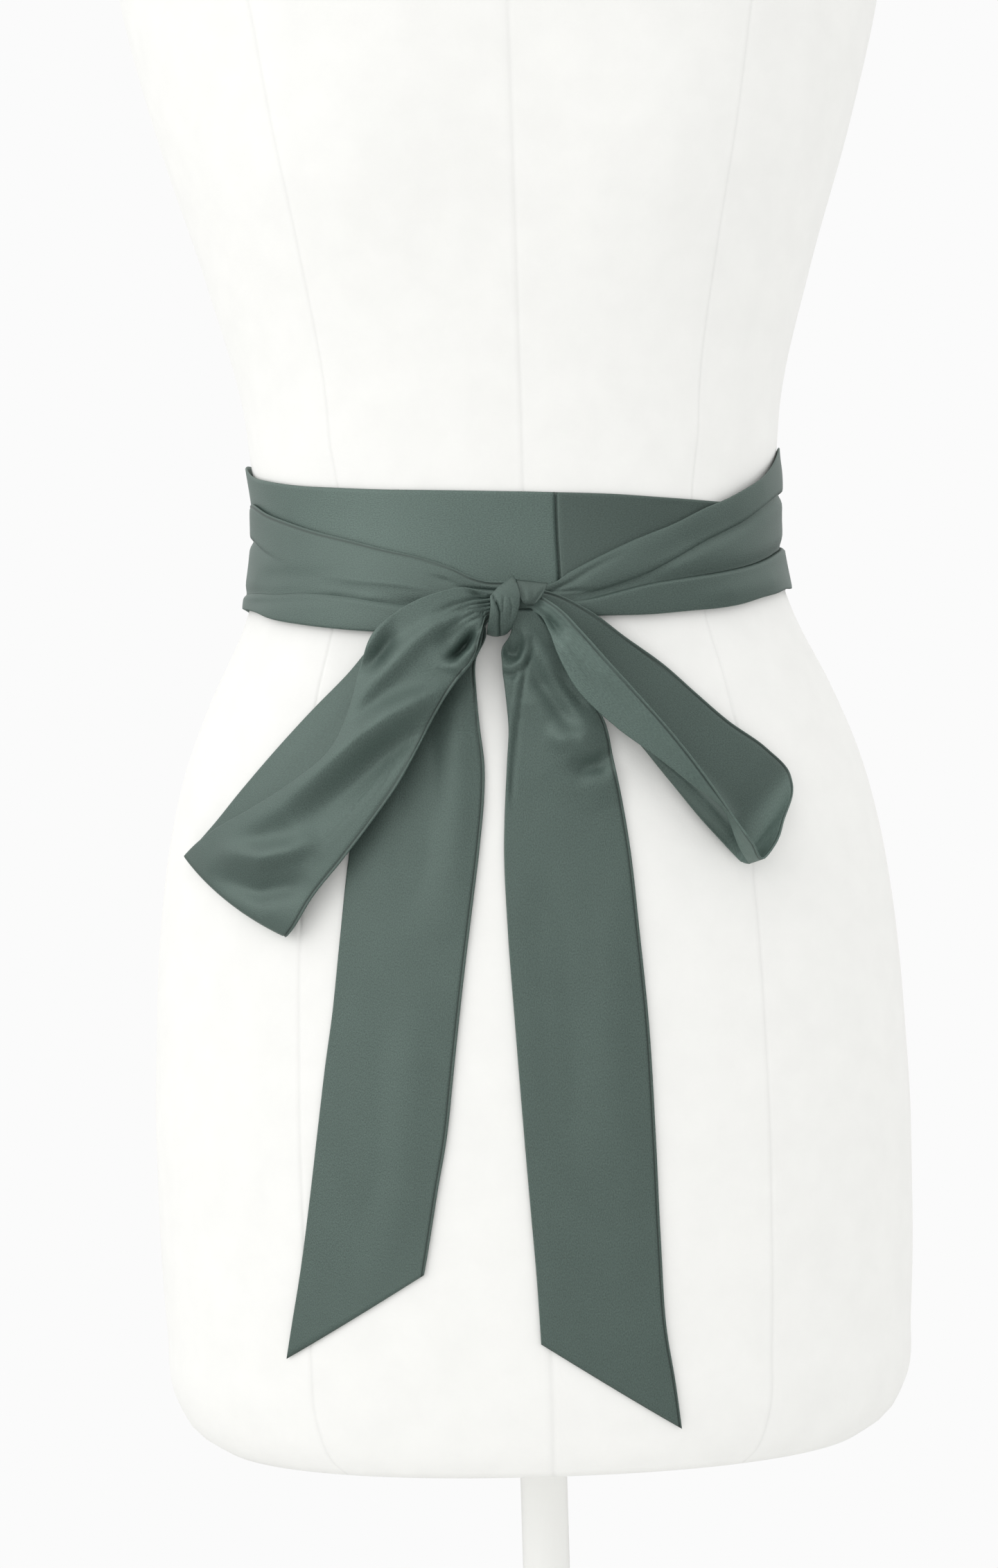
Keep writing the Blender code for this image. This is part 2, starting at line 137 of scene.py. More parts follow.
# Floor. It fades into the backdrop between two distances in metres
FLOOR_RADII = (0.0, 300.0, 900.0, 2500.0, 40000.0)
FLOOR_STEPS = 64
FLOOR_FADE = (0.5, 2.2)

# Camera
CAMERA_PLACE = (-11.4, -1600.0, 870.0)
CAMERA_LENS = 78.0
CAMERA_SENSOR = 36.0
CAMERA_ROLL = 1.7

# The form's sections: height, half width, depth in front and behind
FORM_ROWS = (
    (566, 150, 112, 112), (572, 160, 116, 118), (587, 170.3, 119, 124), (619, 174.2, 121, 130),
    (652, 176, 121.5, 135), (685, 176.6, 121.5, 139), (717, 176.8, 121, 142),
    (750, 175.6, 120, 143), (782, 174, 119, 140), (815, 171, 117.5, 134), (848, 166, 115.5, 126),
    (880, 158, 112.5, 116), (913, 145, 108.5, 106), (945, 129.5, 104, 97),
    (965, 122.9, 102, 93.5), (985, 119.7, 100, 91), (1005, 120.8, 98.8, 89.8),
    (1024, 123.5, 98, 89), (1043, 125.5, 98.5, 89), (1109, 142, 105, 93), (1174, 162, 112, 101),
    (1239, 178, 114, 108), (1285, 184, 110, 110), (1320, 183, 102, 107), (1338, 174, 95, 102),
    (1355, 152, 88, 95), (1372, 118, 78, 86), (1386, 84, 68, 77), (1400, 62, 60, 69),
    (1425, 55, 54, 62), (1452, 53, 53, 59), (1455, 51, 51, 57),
)

# First turn: angle, top edge, bottom edge, layer (0 next to the form, 1 over another)
FIRST_LEFT = (
    (-83.27, 998.1, 945, 0), (-95, 999.6, 942.5, 0), (-108, 1001.2, 941.3, 0),
    (-117, 1002.4, 941.5, 0), (-129, 1004.7, 943, 0), (-141, 1007.3, 946, 0),
    (-150, 1009.9, 949, 0), (-156, 1011.8, 951.5, 0), (-167, 1015.5, 955.5, 0.1),
    (-180, 1022.6, 961, 0.8), (-200, 1024, 972, 0.8), (-215, 1020, 981.3, 0),
)
FIRST_RIGHT = (
    (-83.25, 998.1, 945.3, 0), (-72.6, 997.1, 945.5, 0), (-60, 995.5, 947, 0),
    (-52.6, 994.8, 948.4, 0), (-44, 994.2, 950.5, 0), (-35, 994, 953.5, 0),
    (-20, 993, 957.8, 0), (0, 989, 958, 0), (20, 984, 949, 0), (38, 979.7, 942, 0),
)

# Where the turns pass at the back: angle, top edge, fold, bottom edge, layer
BACK_UPPER = (
    (38.2, 1020, 1001, 981, 1), (60, 1018.5, 999, 980.4, 0.6), (90, 1017.5, 1001, 980, 0.1),
    (120, 1018.5, 1003, 980.4, 0), (144.8, 1020, 1002, 981.2, 0),
)
BACK_LOWER = (
    (38.2, 979.7, 959, 942, 0), (60, 979, 957, 941, 0), (90, 978.6, 960, 940.5, 0.1),
    (120, 979, 963, 941, 0.6), (144.8, 979.7, 962, 942, 1),
)

# Second turn: angle, top edge, upper fold, lower fold, bottom edge, layer
SECOND_LEFT = (
    (-215, 979.7, 969, 955, 942, 1), (-200, 991, 979, 960, 951.5, 1),
    (-185, 1001, 986.5, 962, 955.5, 1), (-170, 1003.3, 986, 961.5, 954.6, 1),
    (-155, 996, 978, 960, 951.2, 1), (-149, 993, 974.5, 959, 948.5, 1),
    (-135.5, 985.8, 968, 958, 944, 1), (-125, 980.5, 964, 955.5, 941, 1),
    (-116, 975.4, 960.5, 952, 939, 1), (-108.6, 971.3, 958.5, 949.5, 938.2, 1),
    (-101.6, 965.7, 956, 948.5, 939.3, 1), (-98.4, 962, 954.5, 948.5, 940.3, 1),
    (-95.3, 959.6, 953.5, 948.5, 941.5, 1), (-91.5, 959, 953, 948.5, 943, 1),
)
SECOND_RIGHT = (
    (38, 1020, 1007, 994, 981, 1), (20, 1020, 1003, 984, 968, 1),
    (6, 1022.4, 1002, 979, 961, 1), (-2, 1024, 1002, 977, 958, 1),
    (-10.8, 1018.5, 1000.5, 974.5, 956.5, 1),
    (-19, 1011.6, 996.6, 971.8, 955.5, 1), (-25, 1006.7, 992.8, 969.3, 953.5, 1),
    (-34.7, 999.8, 985.5, 965.4, 950.6, 1), (-42.3, 994.5, 980.5, 962.9, 947.6, 1),
    (-47.8, 991.1, 976.8, 961.3, 946, 1), (-57.9, 983, 968.2, 958.7, 944.3, 1),
    (-66.6, 976.8, 960.4, 956, 943, 1), (-74.3, 969.9, 955, 952.2, 942.9, 1),
    (-77.8, 966.3, 953, 950.4, 943, 1), (-81.2, 962.5, 952, 949.2, 943.6, 1),
    (-85, 957.3, 951.8, 949.2, 944.7, 1), (-88.5, 957, 952.5, 949.5, 945.5, 1),
)

# A strip in front of the form, row by row: edge A's x, z and clearance, then edge B's
LOOP_LEFT = (
    (-8.5, 953.5, 16.5, -8.5, 945, 16), (-15, 954, 17, -14.5, 943.5, 17),
    (-23.5, 956, 20, -17, 936.5, 19), (-34.5, 954.5, 22, -20.5, 925.5, 19),
    (-50.5, 948.5, 23, -27, 917, 18), (-64, 938, 22, -33, 909, 17),
    (-70.5, 923, 21, -39.5, 898.5, 16), (-75.5, 905.5, 19, -47, 885, 15),
    (-84, 888, 17, -55, 871.5, 14), (-100, 875, 15, -67, 855.5, 13),
    (-120.5, 863, 13, -80.5, 839, 12), (-141, 852.5, 11, -95, 822, 11),
    (-151.5, 845, 8.5, -104, 808.5, 9), (-155.5, 841.5, 5.5, -107, 805.5, 6),
    (-152.5, 844, 3, -107, 807, 3), (-142.5, 853.5, 2.2, -100, 820, 2.6),
    (-126.5, 871, 2.4, -86.5, 838, 3.2), (-109.5, 889, 2.6, -73, 856, 3.6),
    (-93.5, 905, 3, -61, 873, 4), (-77.5, 920, 4.2, -50, 889, 4.6),
    (-68, 930.5, 6.6, -34.5, 909, 6), (-56.5, 943.5, 9, -23, 921.5, 8.5),
    (-36.5, 952, 10, -18, 929.5, 10.5), (-16.5, 952, 10.5, -14, 941, 10),
    (-8.5, 951.5, 10.5, -8.5, 945, 9.5),
)
LOOP_RIGHT = (
    (-3, 955.5, 10, -3, 946, 9.5), (14, 953.5, 8.6, 12, 944, 8.6), (30.5, 945, 8.4, 20, 930.5, 7),
    (45.5, 933.5, 6, 32, 915.5, 4.5), (63.5, 920, 3.5, 44, 894.5, 3.5),
    (77, 907.5, 3, 55, 880, 3), (91, 895, 3, 66, 865.5, 3), (108, 882.5, 3, 77, 851.5, 3),
    (118.8, 869.5, 4, 88.5, 838.5, 3), (118.5, 861, 10, 93.5, 833, 5),
    (114, 851.5, 15, 94.5, 832.5, 6), (110, 842, 20, 95.5, 832, 7),
    (103.5, 834.5, 23, 97, 832, 9), (98.5, 841, 25, 93, 839, 13),
    (92, 850, 24, 87, 855, 16), (80.5, 868.5, 21, 73.5, 866.5, 17),
    (66, 888.5, 20, 56.5, 880.5, 17), (51.5, 906, 20, 39.6, 893.6, 17),
    (37, 923, 21, 23, 911, 17.6), (26.5, 935.5, 21, 15.6, 926, 17.6),
    (18, 945, 19, 12.4, 935.6, 16.4), (9, 951.5, 17, 8.4, 943, 16), (-3, 957, 16.5, -3, 946.5, 15.5),
)
TAIL_LEFT = (
    (-24, 939.5, 4.6, -15.8, 941.5, 4.6), (-25.5, 934, 3.8, -15, 936, 4.6),
    (-29.5, 923, 2, -20, 924, 3), (-34.5, 914, 1.2, -20, 910, 2), (-50, 902, 0.8, -19, 895, 1.5),
    (-64.5, 884, 0.8, -17.5, 879.5, 1), (-74, 863, 0.8, -18, 864.5, 1),
    (-78.5, 839, 0.8, -20.5, 843.5, 1), (-83.5, 802.5, 0.8, -25.5, 810.5, 1),
    (-87.5, 772, 0.8, -30, 780.5, 1), (-91.5, 748, 0.8, -34.5, 747.5, 1),
    (-96, 717.5, 0.8, -38.5, 717.5, 1), (-100.5, 687, 0.8, -43, 695, 1),
    (-105.5, 656.5, 0.8, -46.7, 675.5, 1), (-109.5, 636, 0.9, -48.9, 664, 1),
    (-112.8, 618.8, 1, -50.4, 657, 1),
)
TAIL_RIGHT = (
    (-2.6, 946, 18.3, 8, 946, 15), (-3.4, 941.5, 16, 10.5, 941.8, 14),
    (-3.8, 937.5, 14, 14, 937.8, 12.6), (-4.8, 934.6, 12, 17, 934, 11.5),
    (-8, 930, 9, 19.5, 929.5, 10), (-8.5, 922, 7, 23, 920.5, 8), (-7.5, 910, 5, 29, 909, 6),
    (-6.5, 894.5, 3, 36, 895, 4),
    (-7.5, 881, 2, 39, 879.5, 3), (-9, 861.5, 1, 42.5, 860, 1.5), (-10, 843, 0.8, 45, 841.5, 1),
    (-9.5, 807, 0.8, 48, 805, 1), (-7.5, 764.5, 0.8, 51, 762.5, 1),
    (-5, 716.5, 0.8, 52.5, 710, 1), (-3, 682, 0.8, 53.3, 667, 1),
    (-1.4, 655, 0.8, 54.8, 629, 1), (-0.7, 638, 0.8, 58, 606, 1),
    (-0.3, 625.8, 0.9, 60.2, 585.8, 1),
)
KNOT_FLAP = (
    (-1.5, 959, 16.6, 12.5, 957, 15.6), (-0.9, 955.5, 18.8, 11.6, 954.6, 18.2),
    (-0.2, 951.5, 20.2, 9.6, 951, 20), (1, 948.5, 20.6, 7.2, 948.2, 20.4),
    (3, 947, 20.4, 5.6, 946.9, 20.4),
)

# The knot's strand, from its foot up: height, left edge, right edge
KNOT_BAND = (
    (935, -14.8, -7), (938, -14.4, -4), (943, -13.4, -1.4), (947, -12.8, -0.3),
    (951.5, -12.9, 0.2), (955, -9.5, -0.6), (958, -5, -1.6), (960, -4, -2),
)

# Ridges (height over 0) and troughs (under 0) of the strips. Each is a line through places:
# x, z, height and half width
LOOP_LEFT_FOLDS = (
    ((-24, 946, 0, 2), (-38, 939, 2.6, 3.4), (-46, 933, 3.4, 4), (-53.5, 926, 3.8, 4.6),
     (-62, 918.5, 3.4, 4.6), (-69, 910.5, 2.8, 4.6), (-77, 899, 1.4, 4.6), (-83, 891, 0, 4)),
    ((-33, 913.5, 0, 4), (-39, 910, 3, 4.6), (-46.5, 906.5, 6, 5.4), (-58, 901, 8, 6),
     (-70, 893.5, 8.4, 6.4), (-81, 884.5, 7.4, 6.6), (-93, 874.5, 5.8, 6.8),
     (-108, 863, 4, 7), (-125, 854, 2, 6), (-140, 848, 0, 5)),
    ((-36, 901, 0, 5), (-48, 893, -3, 5.6), (-62, 883, -4.4, 6.4), (-77, 870, -4, 7),
     (-92, 858, -2, 8), (-100, 852, 0, 8)),
    ((-54, 938, 0, 3), (-57.5, 933.5, -3.2, 3.2), (-61, 928.5, -4.2, 3.6), (-65, 923.5, -2.4, 4),
     (-68, 919, 0, 4)),
    ((-54, 947, 0, 2.4), (-62, 938.5, 2, 2.6), (-67, 931, 2, 2.8), (-70, 924, 0, 3)),
    ((-141, 838, 0, 4), (-131, 832.5, -3.4, 4.6), (-117, 827, -5.6, 5), (-104, 828.5, -3.4, 5),
     (-95, 831.5, 0, 5)),
    ((-138, 846, 0, 4), (-130, 844, 4, 5), (-117, 841.5, 7.4, 5), (-104, 843.5, 5, 5),
     (-90, 849, 0, 5)),
    ((-38, 924, 0, 2), (-30.6, 921.8, 2.2, 2), (-25, 919.8, 2, 1.9), (-19.5, 922.5, 0, 1.7)),
    ((-31.4, 925, -3, 2), (-28, 927.2, -9.6, 2.2), (-25, 930.2, -11.5, 2.3),
     (-22, 934, -7, 2.3), (-19, 938.2, 0, 2)),
    ((-38, 930, 0, 4), (-32, 933, -3.4, 4.4), (-26, 938, -2, 4), (-23, 941, 0, 3)),
    ((-30.5, 921.5, 0, 1.6), (-26, 924.4, 3, 1.6), (-21.4, 929.2, 2.8, 1.6), (-18.6, 934, 0, 1.4)),
    ((-22.5, 957, 0, 1.3), (-19, 955.5, 1.4, 1.3), (-14, 951.8, 1.2, 1.3)),
    ((-21.2, 954.4, 0, 1.2), (-19.6, 953.2, -2.6, 1.3), (-17.6, 952.2, -1.6, 1.2)),
)
LOOP_LEFT_GATHERS = (
    ((-11, 951.6, -1.2, 0.6), (-21, 950.6, -1.7, 0.8), (-30, 948, -1.4, 1), (-39, 943, 0, 1.6)),
    ((-11, 949.6, -1.3, 0.6), (-22, 948.3, -1.8, 0.7), (-29, 945.4, -1.4, 0.9), (-37, 940, 0, 1.4)),
    ((-11, 948, -1.3, 0.6), (-23, 946.4, -1.7, 0.7), (-31, 941.6, 0, 1.2)),
    ((-11, 946.4, -1.3, 0.5), (-20, 944.9, -1.6, 0.7), (-27, 941.4, -1.1, 0.9), (-35, 935.5, 0, 1.4)),
    ((-11, 944.8, -1, 0.5), (-20, 942.2, -1.4, 0.7), (-26, 938.8, 0, 1)),
)
LOOP_RIGHT_FOLDS = (
    ((11.5, 945, 0, 1.4), (13, 941.6, -2.4, 1.8), (15.4, 937.6, -2.8, 2.2), (19, 932, 0, 2.4)),
    ((8, 950.6, 0.9, 1.3), (15, 945.2, 1.4, 1.6), (22, 939, 0.8, 1.6), (29, 931.5, 0, 1.6)),
    ((6, 948.6, 0, 1), (12.4, 944, 1.5, 1.2), (15.8, 940.6, 1, 1.4), (18.6, 936.4, 0, 1.4)),
    ((15, 934, 0, 1.6), (18.5, 928, 1.4, 2), (24, 919, 1, 2.4), (31, 908, 0, 2.4)),
    ((26, 930, 0, 3), (36, 917.5, 1.2, 3.4), (52, 898, 1.2, 4), (70, 876, 0, 4)),
    ((70, 874, 0, 2), (80, 861, -1.6, 3), (89, 849, -2.4, 3), (95, 840, -1.5, 2.4)),
)
LOOP_RIGHT_BEHIND = (
    ((48, 890, 0, 3), (58, 880, 5, 4), (70, 868.5, 8.5, 5), (80, 858, 8.5, 5), (87, 850, 7, 5),
     (92, 843, 4, 5)),
    ((58, 874, 0, 1.4), (64, 866.5, 1.2, 1.6), (75, 853, 1.4, 1.6), (86, 840.5, 1.2, 1.4)),
)
TAIL_RIGHT_FOLDS = (
    ((2, 932, 0, 10), (12, 908, 4.6, 13), (26, 884, 5.4, 14), (36, 858, 0, 12)),
    ((4, 924, 0, 4), (8.5, 913.5, -4, 4.6), (16.5, 900, -4.6, 5), (24, 888, -2.4, 5),
     (28, 882, 0, 5)),
    ((19, 880, 0, 4.5), (26, 876.6, -5.6, 5), (32, 877.6, -6.4, 5), (37.5, 883, -3, 4.5),
     (40, 889, 0, 4)),
    ((10, 893, 0, 5), (18, 889.6, 3, 5), (25, 889.6, 4, 5), (31, 893, 0, 4.5)),
    ((0, 941, 0, 2.6), (3.5, 935, 2, 3.4), (8, 927.5, 2.4, 3.8), (13, 919, 1.8, 4),
     (18, 911, 0, 4)),
    ((12, 922, 0, 2.4), (17.5, 914.6, -2, 2.8), (24.5, 905, -2.4, 3), (31, 897, 0, 3)),
    ((2, 926, 0, 1.6), (-2.4, 914, 1.6, 2), (-4.4, 902, 1.5, 2.2), (-6.5, 889, 1.2, 2),
     (-8, 872, 0.8, 1.6), (-8, 857, 0, 1.6)),
    ((2.9, 926.3, -1.2, 0.8), (0.4, 914.8, -1.7, 0.8), (-0.6, 909.1, -1.6, 0.8),
     (-3.3, 891.2, -1.3, 0.8), (-6.1, 867.3, -0.8, 0.8), (-5.2, 855.3, 0, 0.8)),
    ((-7, 931.5, -2, 2), (-5.4, 927, -3.4, 2.4), (-2.4, 926.4, -3, 2.4), (-0.6, 930, -1.6, 2)),
    ((-9, 921.4, 1.2, 1.2), (-4.4, 920.4, 2, 1.3), (0, 923.4, 2.2, 1.3), (2.4, 928, 2, 1.3),
     (2, 934, 1.2, 1.2), (0.5, 938, 0, 1)),
    ((-9, 918.6, -1, 1), (-4.2, 917.2, -1.6, 1.1), (0.4, 920.2, -1.6, 1.1),
     (3.6, 924.6, -1.4, 1.1), (5, 930, -1, 1), (5, 936, 0, 1)),
    ((-4, 939.6, 1.5, 1), (-1.6, 938.2, 1.5, 1.1), (0, 935.6, 0, 1)),
    ((44, 845, 0, 8), (36, 800, 0.9, 9), (34, 740, 0.9, 10), (38, 680, 0, 10)),
    ((6, 850, 0, 8), (10, 800, -0.9, 9), (12, 740, -0.9, 10), (16, 680, 0, 10)),
)
TAIL_LEFT_FOLDS = (
    ((-28, 914, 0, 6), (-28.5, 905, 2.2, 7), (-29.5, 874, 2.4, 8), (-32, 834.5, 1.6, 8),
     (-35, 800, 0, 9)),
    ((-40, 902, 0, 7), (-44, 880, -1.8, 8), (-49, 845, -1.6, 8), (-54, 805, 0, 9)),
    ((-79, 805, 0, 10), (-75, 760, -1.1, 12), (-72, 700, -1.1, 12), (-76, 655, 0, 10)),
    ((-50, 790, 0, 9), (-54, 750, 1, 10), (-62, 690, 0.9, 10), (-68, 655, 0, 9)),
)
KNOT_FOLDS = (
    ((-11.4, 951.7, -0.8, 0.6), (-9.7, 947.5, -1.3, 0.7), (-8.9, 944.4, -1.5, 0.7),
     (-9.3, 939.7, -1.5, 0.7), (-9.1, 936, -1, 0.7)),
    ((-6.9, 950.4, -0.3, 0.6), (-7.5, 944.4, -0.6, 0.6), (-7.7, 938, -0.3, 0.6)),
    ((-4.2, 949.8, -0.3, 0.6), (-3.5, 946.2, -0.5, 0.6), (-4.5, 942, -0.3, 0.6)),
)
FLAP_FOLDS = (
    ((1, 958, 0, 1.6), (3.4, 953.6, 1.1, 1.8), (4, 949, 0.8, 1.4), (4.4, 946.8, 0, 1)),
    ((12, 955.6, -0.6, 1), (9.4, 952, -1, 1.2), (6.6, 948.4, -0.6, 1)),
)
NO_FOLDS = ()

# Ridges and troughs of the wraps: angle, height on the form, height and half width
FIRST_RIGHT_FOLDS = (
    ((-65, 995, 0, 1.5), (-59, 994, -1.6, 1.8), (-48.7, 991.4, -2.2, 1.8), (-43, 993, -1, 1.6)),
)
SECOND_LEFT_FOLDS = (
    ((-168, 956.6, 0, 2.4), (-156, 956, -0.7, 2.6), (-144, 955.4, -0.7, 2.4),
     (-130, 955, -0.5, 2), (-120, 954.3, 0, 2)),
    ((-140, 959.6, 0, 2.6), (-128, 957.4, 1, 2.4), (-118, 953.9, 1.2, 2.2), (-108, 950, 0, 2.2)),
    ((-105, 955.8, 0, 1), (-112, 959.4, 0.5, 1.4), (-124, 963, 0.5, 1.8), (-134, 966, 0, 2)),
    ((-160, 967.8, 0, 4), (-150, 966.8, -1.1, 5), (-138, 965, -1.1, 5), (-124, 963.4, 0, 4)),
    ((-107, 963, 0, 1), (-103, 960.4, -0.9, 1.1), (-100, 957.4, 0, 1)),
    ((-102, 957.4, 0, 0.6), (-98, 956.2, -0.9, 0.7), (-92, 954.8, -0.9, 0.7)),
    ((-102, 954.8, 0, 0.6), (-97, 953.7, -0.9, 0.7), (-92, 952.8, -0.9, 0.7)),
    ((-102, 952, 0, 0.6), (-97, 951.3, -0.9, 0.7), (-92, 950.8, -0.9, 0.7)),
)
SECOND_RIGHT_FOLDS = (
    ((-84, 955, -0.9, 0.9), (-80.8, 958.3, -1, 1), (-78, 962.2, -1, 1), (-73.5, 967.2, -0.5, 1.2),
     (-69, 971, 0, 1.2)),
    ((-66, 966, 0, 4), (-55, 975, -1, 5), (-40, 983, -1, 5), (-26, 990, 0, 4)),
    ((-56, 949, 0, 4), (-45, 952.6, 1.3, 5), (-28, 959, 1.3, 5), (-14, 963.5, 0, 4)),
    ((-86, 953.6, -0.7, 0.8), (-80, 954, -0.7, 0.8), (-75, 954.4, 0, 0.8)),
    ((-26, 1004, 0, 8), (-11, 1018, -1.8, 9), (0, 1024, -2.4, 10), (14, 1022, -1.8, 10),
     (32, 1020, 0, 10)),
)
BACK_UPPER_FOLDS = (
    ((50, 1008, 0, 4), (65, 1010.5, -1.1, 4), (92, 1011.5, -1.1, 4), (106, 1010, 0, 4)),
    ((94, 993, 0, 3), (106, 991.6, -1, 3.2), (130, 990, -1, 3.2), (142, 989, 0, 3)),
)
BACK_LOWER_FOLDS = (
    ((42, 965, 0, 4), (52, 967, -1, 4), (78, 970, -1, 4), (90, 970.5, 0, 4)),
    ((68, 950.5, 0, 3), (80, 950, -0.9, 3.2), (104, 949, -0.9, 3.2), (118, 948.5, 0, 3)),
)

# Fold lines of the wraps, from the top one down. Each has its strength along the stretch
# (angle and depth), and the half width of its upper and lower flank
SECOND_LEFT_LINES = (
    (((-215, 1.7), (-172, 1.8), (-158, 0.8), (-145, 0), (-91, 0)), 1.2, 2.6),
    (((-215, 1.9), (-172, 1.2), (-150, 1.1), (-125, 1.5), (-105, 1.5), (-91, 0.6)), 3.4, 1.1),
)
SECOND_RIGHT_LINES = (
    (((-88, 0.5), (-75, 1.1), (-50, 1.6), (-10, 2.2), (38, 1.8)), 0.9, 3.0),
    (((-88, 0.5), (-75, 1.5), (-50, 2.3), (-10, 2.4), (38, 2)), 4.4, 0.5),
)
BACK_UPPER_LINES = ((((38, 1.8), (90, 1.3), (145, 1.5)), 3.0, 0.9),)
BACK_LOWER_LINES = ((((38, 1.5), (90, 1.4), (145, 1.8)), 0.9, 3.0),)
FIRST_PUFF = 0.3
BACK_PUFF = 1.5
SECOND_PUFF = 1.9
PUFF_POWER = 0.55

# How far the middle of the left loop's end bulges past the line between its corners, where that
# end is, and which way it bulges to the left and down
LOOP_END_BULGE = 3.2
LOOP_END_X = -155.0
LOOP_END_REACH = 14.0
LOOP_END_WAY = (0.6, 0.8)

# The shares of a loop's length on which its folds lie, and where the right one's back layer ends
LEFT_FOLDED = (-1, 0.53)
RIGHT_FOLDED = (0.52, 2)
BEHIND_END = 0.46
BEHIND_FADE = 0.04


def smooth_rows(rows, step, along=None):
    """Rows of a table, with more between them on a smooth curve through all columns.

    Along is the column that measures the way, or None for the strip's middle line. The curve is
    a cubic between each two rows, with slopes taken from their neighbours.
    """
    rows = np.array(rows, float)
    if along is None:
        middle = (rows[:, :3] + rows[:, 3:6]) / 2
        way = np.concatenate([[0], np.cumsum(np.linalg.norm(np.diff(middle, axis=0), axis=1))])
    else:
        way = np.abs(rows[:, along] - rows[0, along])
    counts = np.maximum(1, np.ceil(np.diff(way) / step).astype(int))
    places = [np.linspace(way[i], way[i + 1], n, endpoint=False) for i, n in enumerate(counts)]
    at = np.append(np.concatenate(places), way[-1])
    slopes = np.gradient(rows, way, axis=0)
    i = np.clip(np.searchsorted(way, at, side="right") - 1, 0, len(way) - 2)
    span = (way[i + 1] - way[i])[:, None]
    t = (at - way[i])[:, None] / span
    return (
        (2 * t**3 - 3 * t**2 + 1) * rows[i]
        + (t**3 - 2 * t**2 + t) * span * slopes[i]
        + (3 * t**2 - 2 * t**3) * rows[i + 1]
        + (t**3 - t**2) * span * slopes[i + 1]
    )


FORM_CURVE = smooth_rows(FORM_ROWS, FORM_STEP, along=0)


def form_size(z):
    """Half width, front depth and back depth of the form at heights z."""
    return [np.interp(z, FORM_CURVE[:, 0], FORM_CURVE[:, k]) for k in (1, 2, 3)]


def bust(x, z):
    """Two low mounds on the chest: a bell curve of the distance from each mound's middle."""
    across = (np.abs(x) - BUST_SPREAD) / BUST_WIDTH
    up = (z - BUST_HEIGHT) / BUST_WIDTH
    return BUST_RELIEF * np.exp(-(across**2) - up**2)


def front_depth(x, z):
    """How far the form's front stands out at x, z: a superellipse in plan."""
    half, front, _ = form_size(z)
    share = np.minimum(1, np.abs(x) / half) ** SECTION_POWER
    return front * (1 - share) ** (1 / SECTION_POWER) + bust(x, z)


def on_form(angle, z, lift):
    """Points on the form at angles in degrees: a superellipse in plan, moved out level by lift."""
    half, front, back = form_size(z)
    turn = np.radians(angle)
    c, s = np.cos(turn), np.sin(turn)
    depth = np.where(s < 0, front, back)
    x = half * np.sign(c) * np.abs(c) ** (2 / SECTION_POWER)
    y = depth * np.sign(s) * np.abs(s) ** (2 / SECTION_POWER)
    out = np.stack([
        np.sign(x) * np.abs(x / half) ** (SECTION_POWER - 1) / half,
        np.sign(y) * np.abs(y / depth) ** (SECTION_POWER - 1) / depth,
    ])
    out = out / np.linalg.norm(out, axis=0)
    y = y - np.where(s < 0, bust(x, z), 0)
    return np.stack([x + lift * out[0], y + lift * out[1], z], axis=-1)


def fold_relief(x, z, folds):
    """The sum of the folds' relief at each point.

    A fold is a line of places. Its relief is the height that it has at its nearest point,
    times a bell curve of the distance to that point over the half width there.
    """
    total = np.zeros_like(x)
    for fold in folds:
        places = np.array(fold, float)
        nearest, relief = np.full_like(x, np.inf), np.zeros_like(x)
        for start, end in zip(places[:-1], places[1:]):
            run = end - start
            share = ((x - start[0]) * run[0] + (z - start[1]) * run[1]) / (run[:2] @ run[:2])
            place = start + run * np.clip(share, 0, 1)[..., None]
            away = np.hypot(x - place[..., 0], z - place[..., 1]) / place[..., 3]
            relief = np.where(away < nearest, place[..., 2] * np.exp(-(away**2)), relief)
            nearest = np.minimum(nearest, away)
        total = total + relief
    return total


def across_places(width):
    """Shares of the way across a strip, close together near both edges where the seam lies."""
    edge = np.array(EDGE_PLACES) / width
    inner = np.linspace(edge[-1], 1 - edge[-1], INNER_COLUMNS)[1:-1]
    return np.concatenate([edge, inner, 1 - edge[::-1]])


def way_along(points, axis):
    """The distance from the grid's first row or column to each point, along axis."""
    steps = np.linalg.norm(np.diff(points, axis=axis), axis=-1)
    start = np.zeros_like(np.take(steps, [0], axis=axis))
    return np.concatenate([start, np.cumsum(steps, axis=axis)], axis=axis)


def grid_normals(points):
    """Unit normals of a grid: the cross product of its steps across and along."""
    normal = np.cross(np.gradient(points, axis=1), np.gradient(points, axis=0))
    return normal / np.maximum(np.linalg.norm(normal, axis=-1, keepdims=True), 1e-9)


def put_mesh(name, points, quads, uv, marks):
    """A smooth-shaded mesh object from points in mm, quads, UVs in metres and point attributes."""
    mesh = bpy.data.meshes.new(name)
    mesh.vertices.add(len(points))
    mesh.vertices.foreach_set("co", (points * MM).astype(np.float32).ravel())
    mesh.loops.add(quads.size)
    mesh.loops.foreach_set("vertex_index", quads.astype(np.int32).ravel())
    mesh.polygons.add(len(quads))
    mesh.polygons.foreach_set("loop_start", np.arange(0, quads.size, 4, dtype=np.int32))
    mesh.update(calc_edges=True)
    mesh.shade_smooth()
    if uv is not None:
        layer = mesh.uv_layers.new(name="cloth")
        layer.data.foreach_set("uv", uv.astype(np.float32).ravel())
    for label, values in marks.items():
        attribute = mesh.attributes.new(label, "FLOAT", "POINT")
        attribute.data.foreach_set("value", values.astype(np.float32).ravel())
    mesh.validate()
    obj = bpy.data.objects.new(name, mesh)
    bpy.context.scene.collection.objects.link(obj)
    return obj


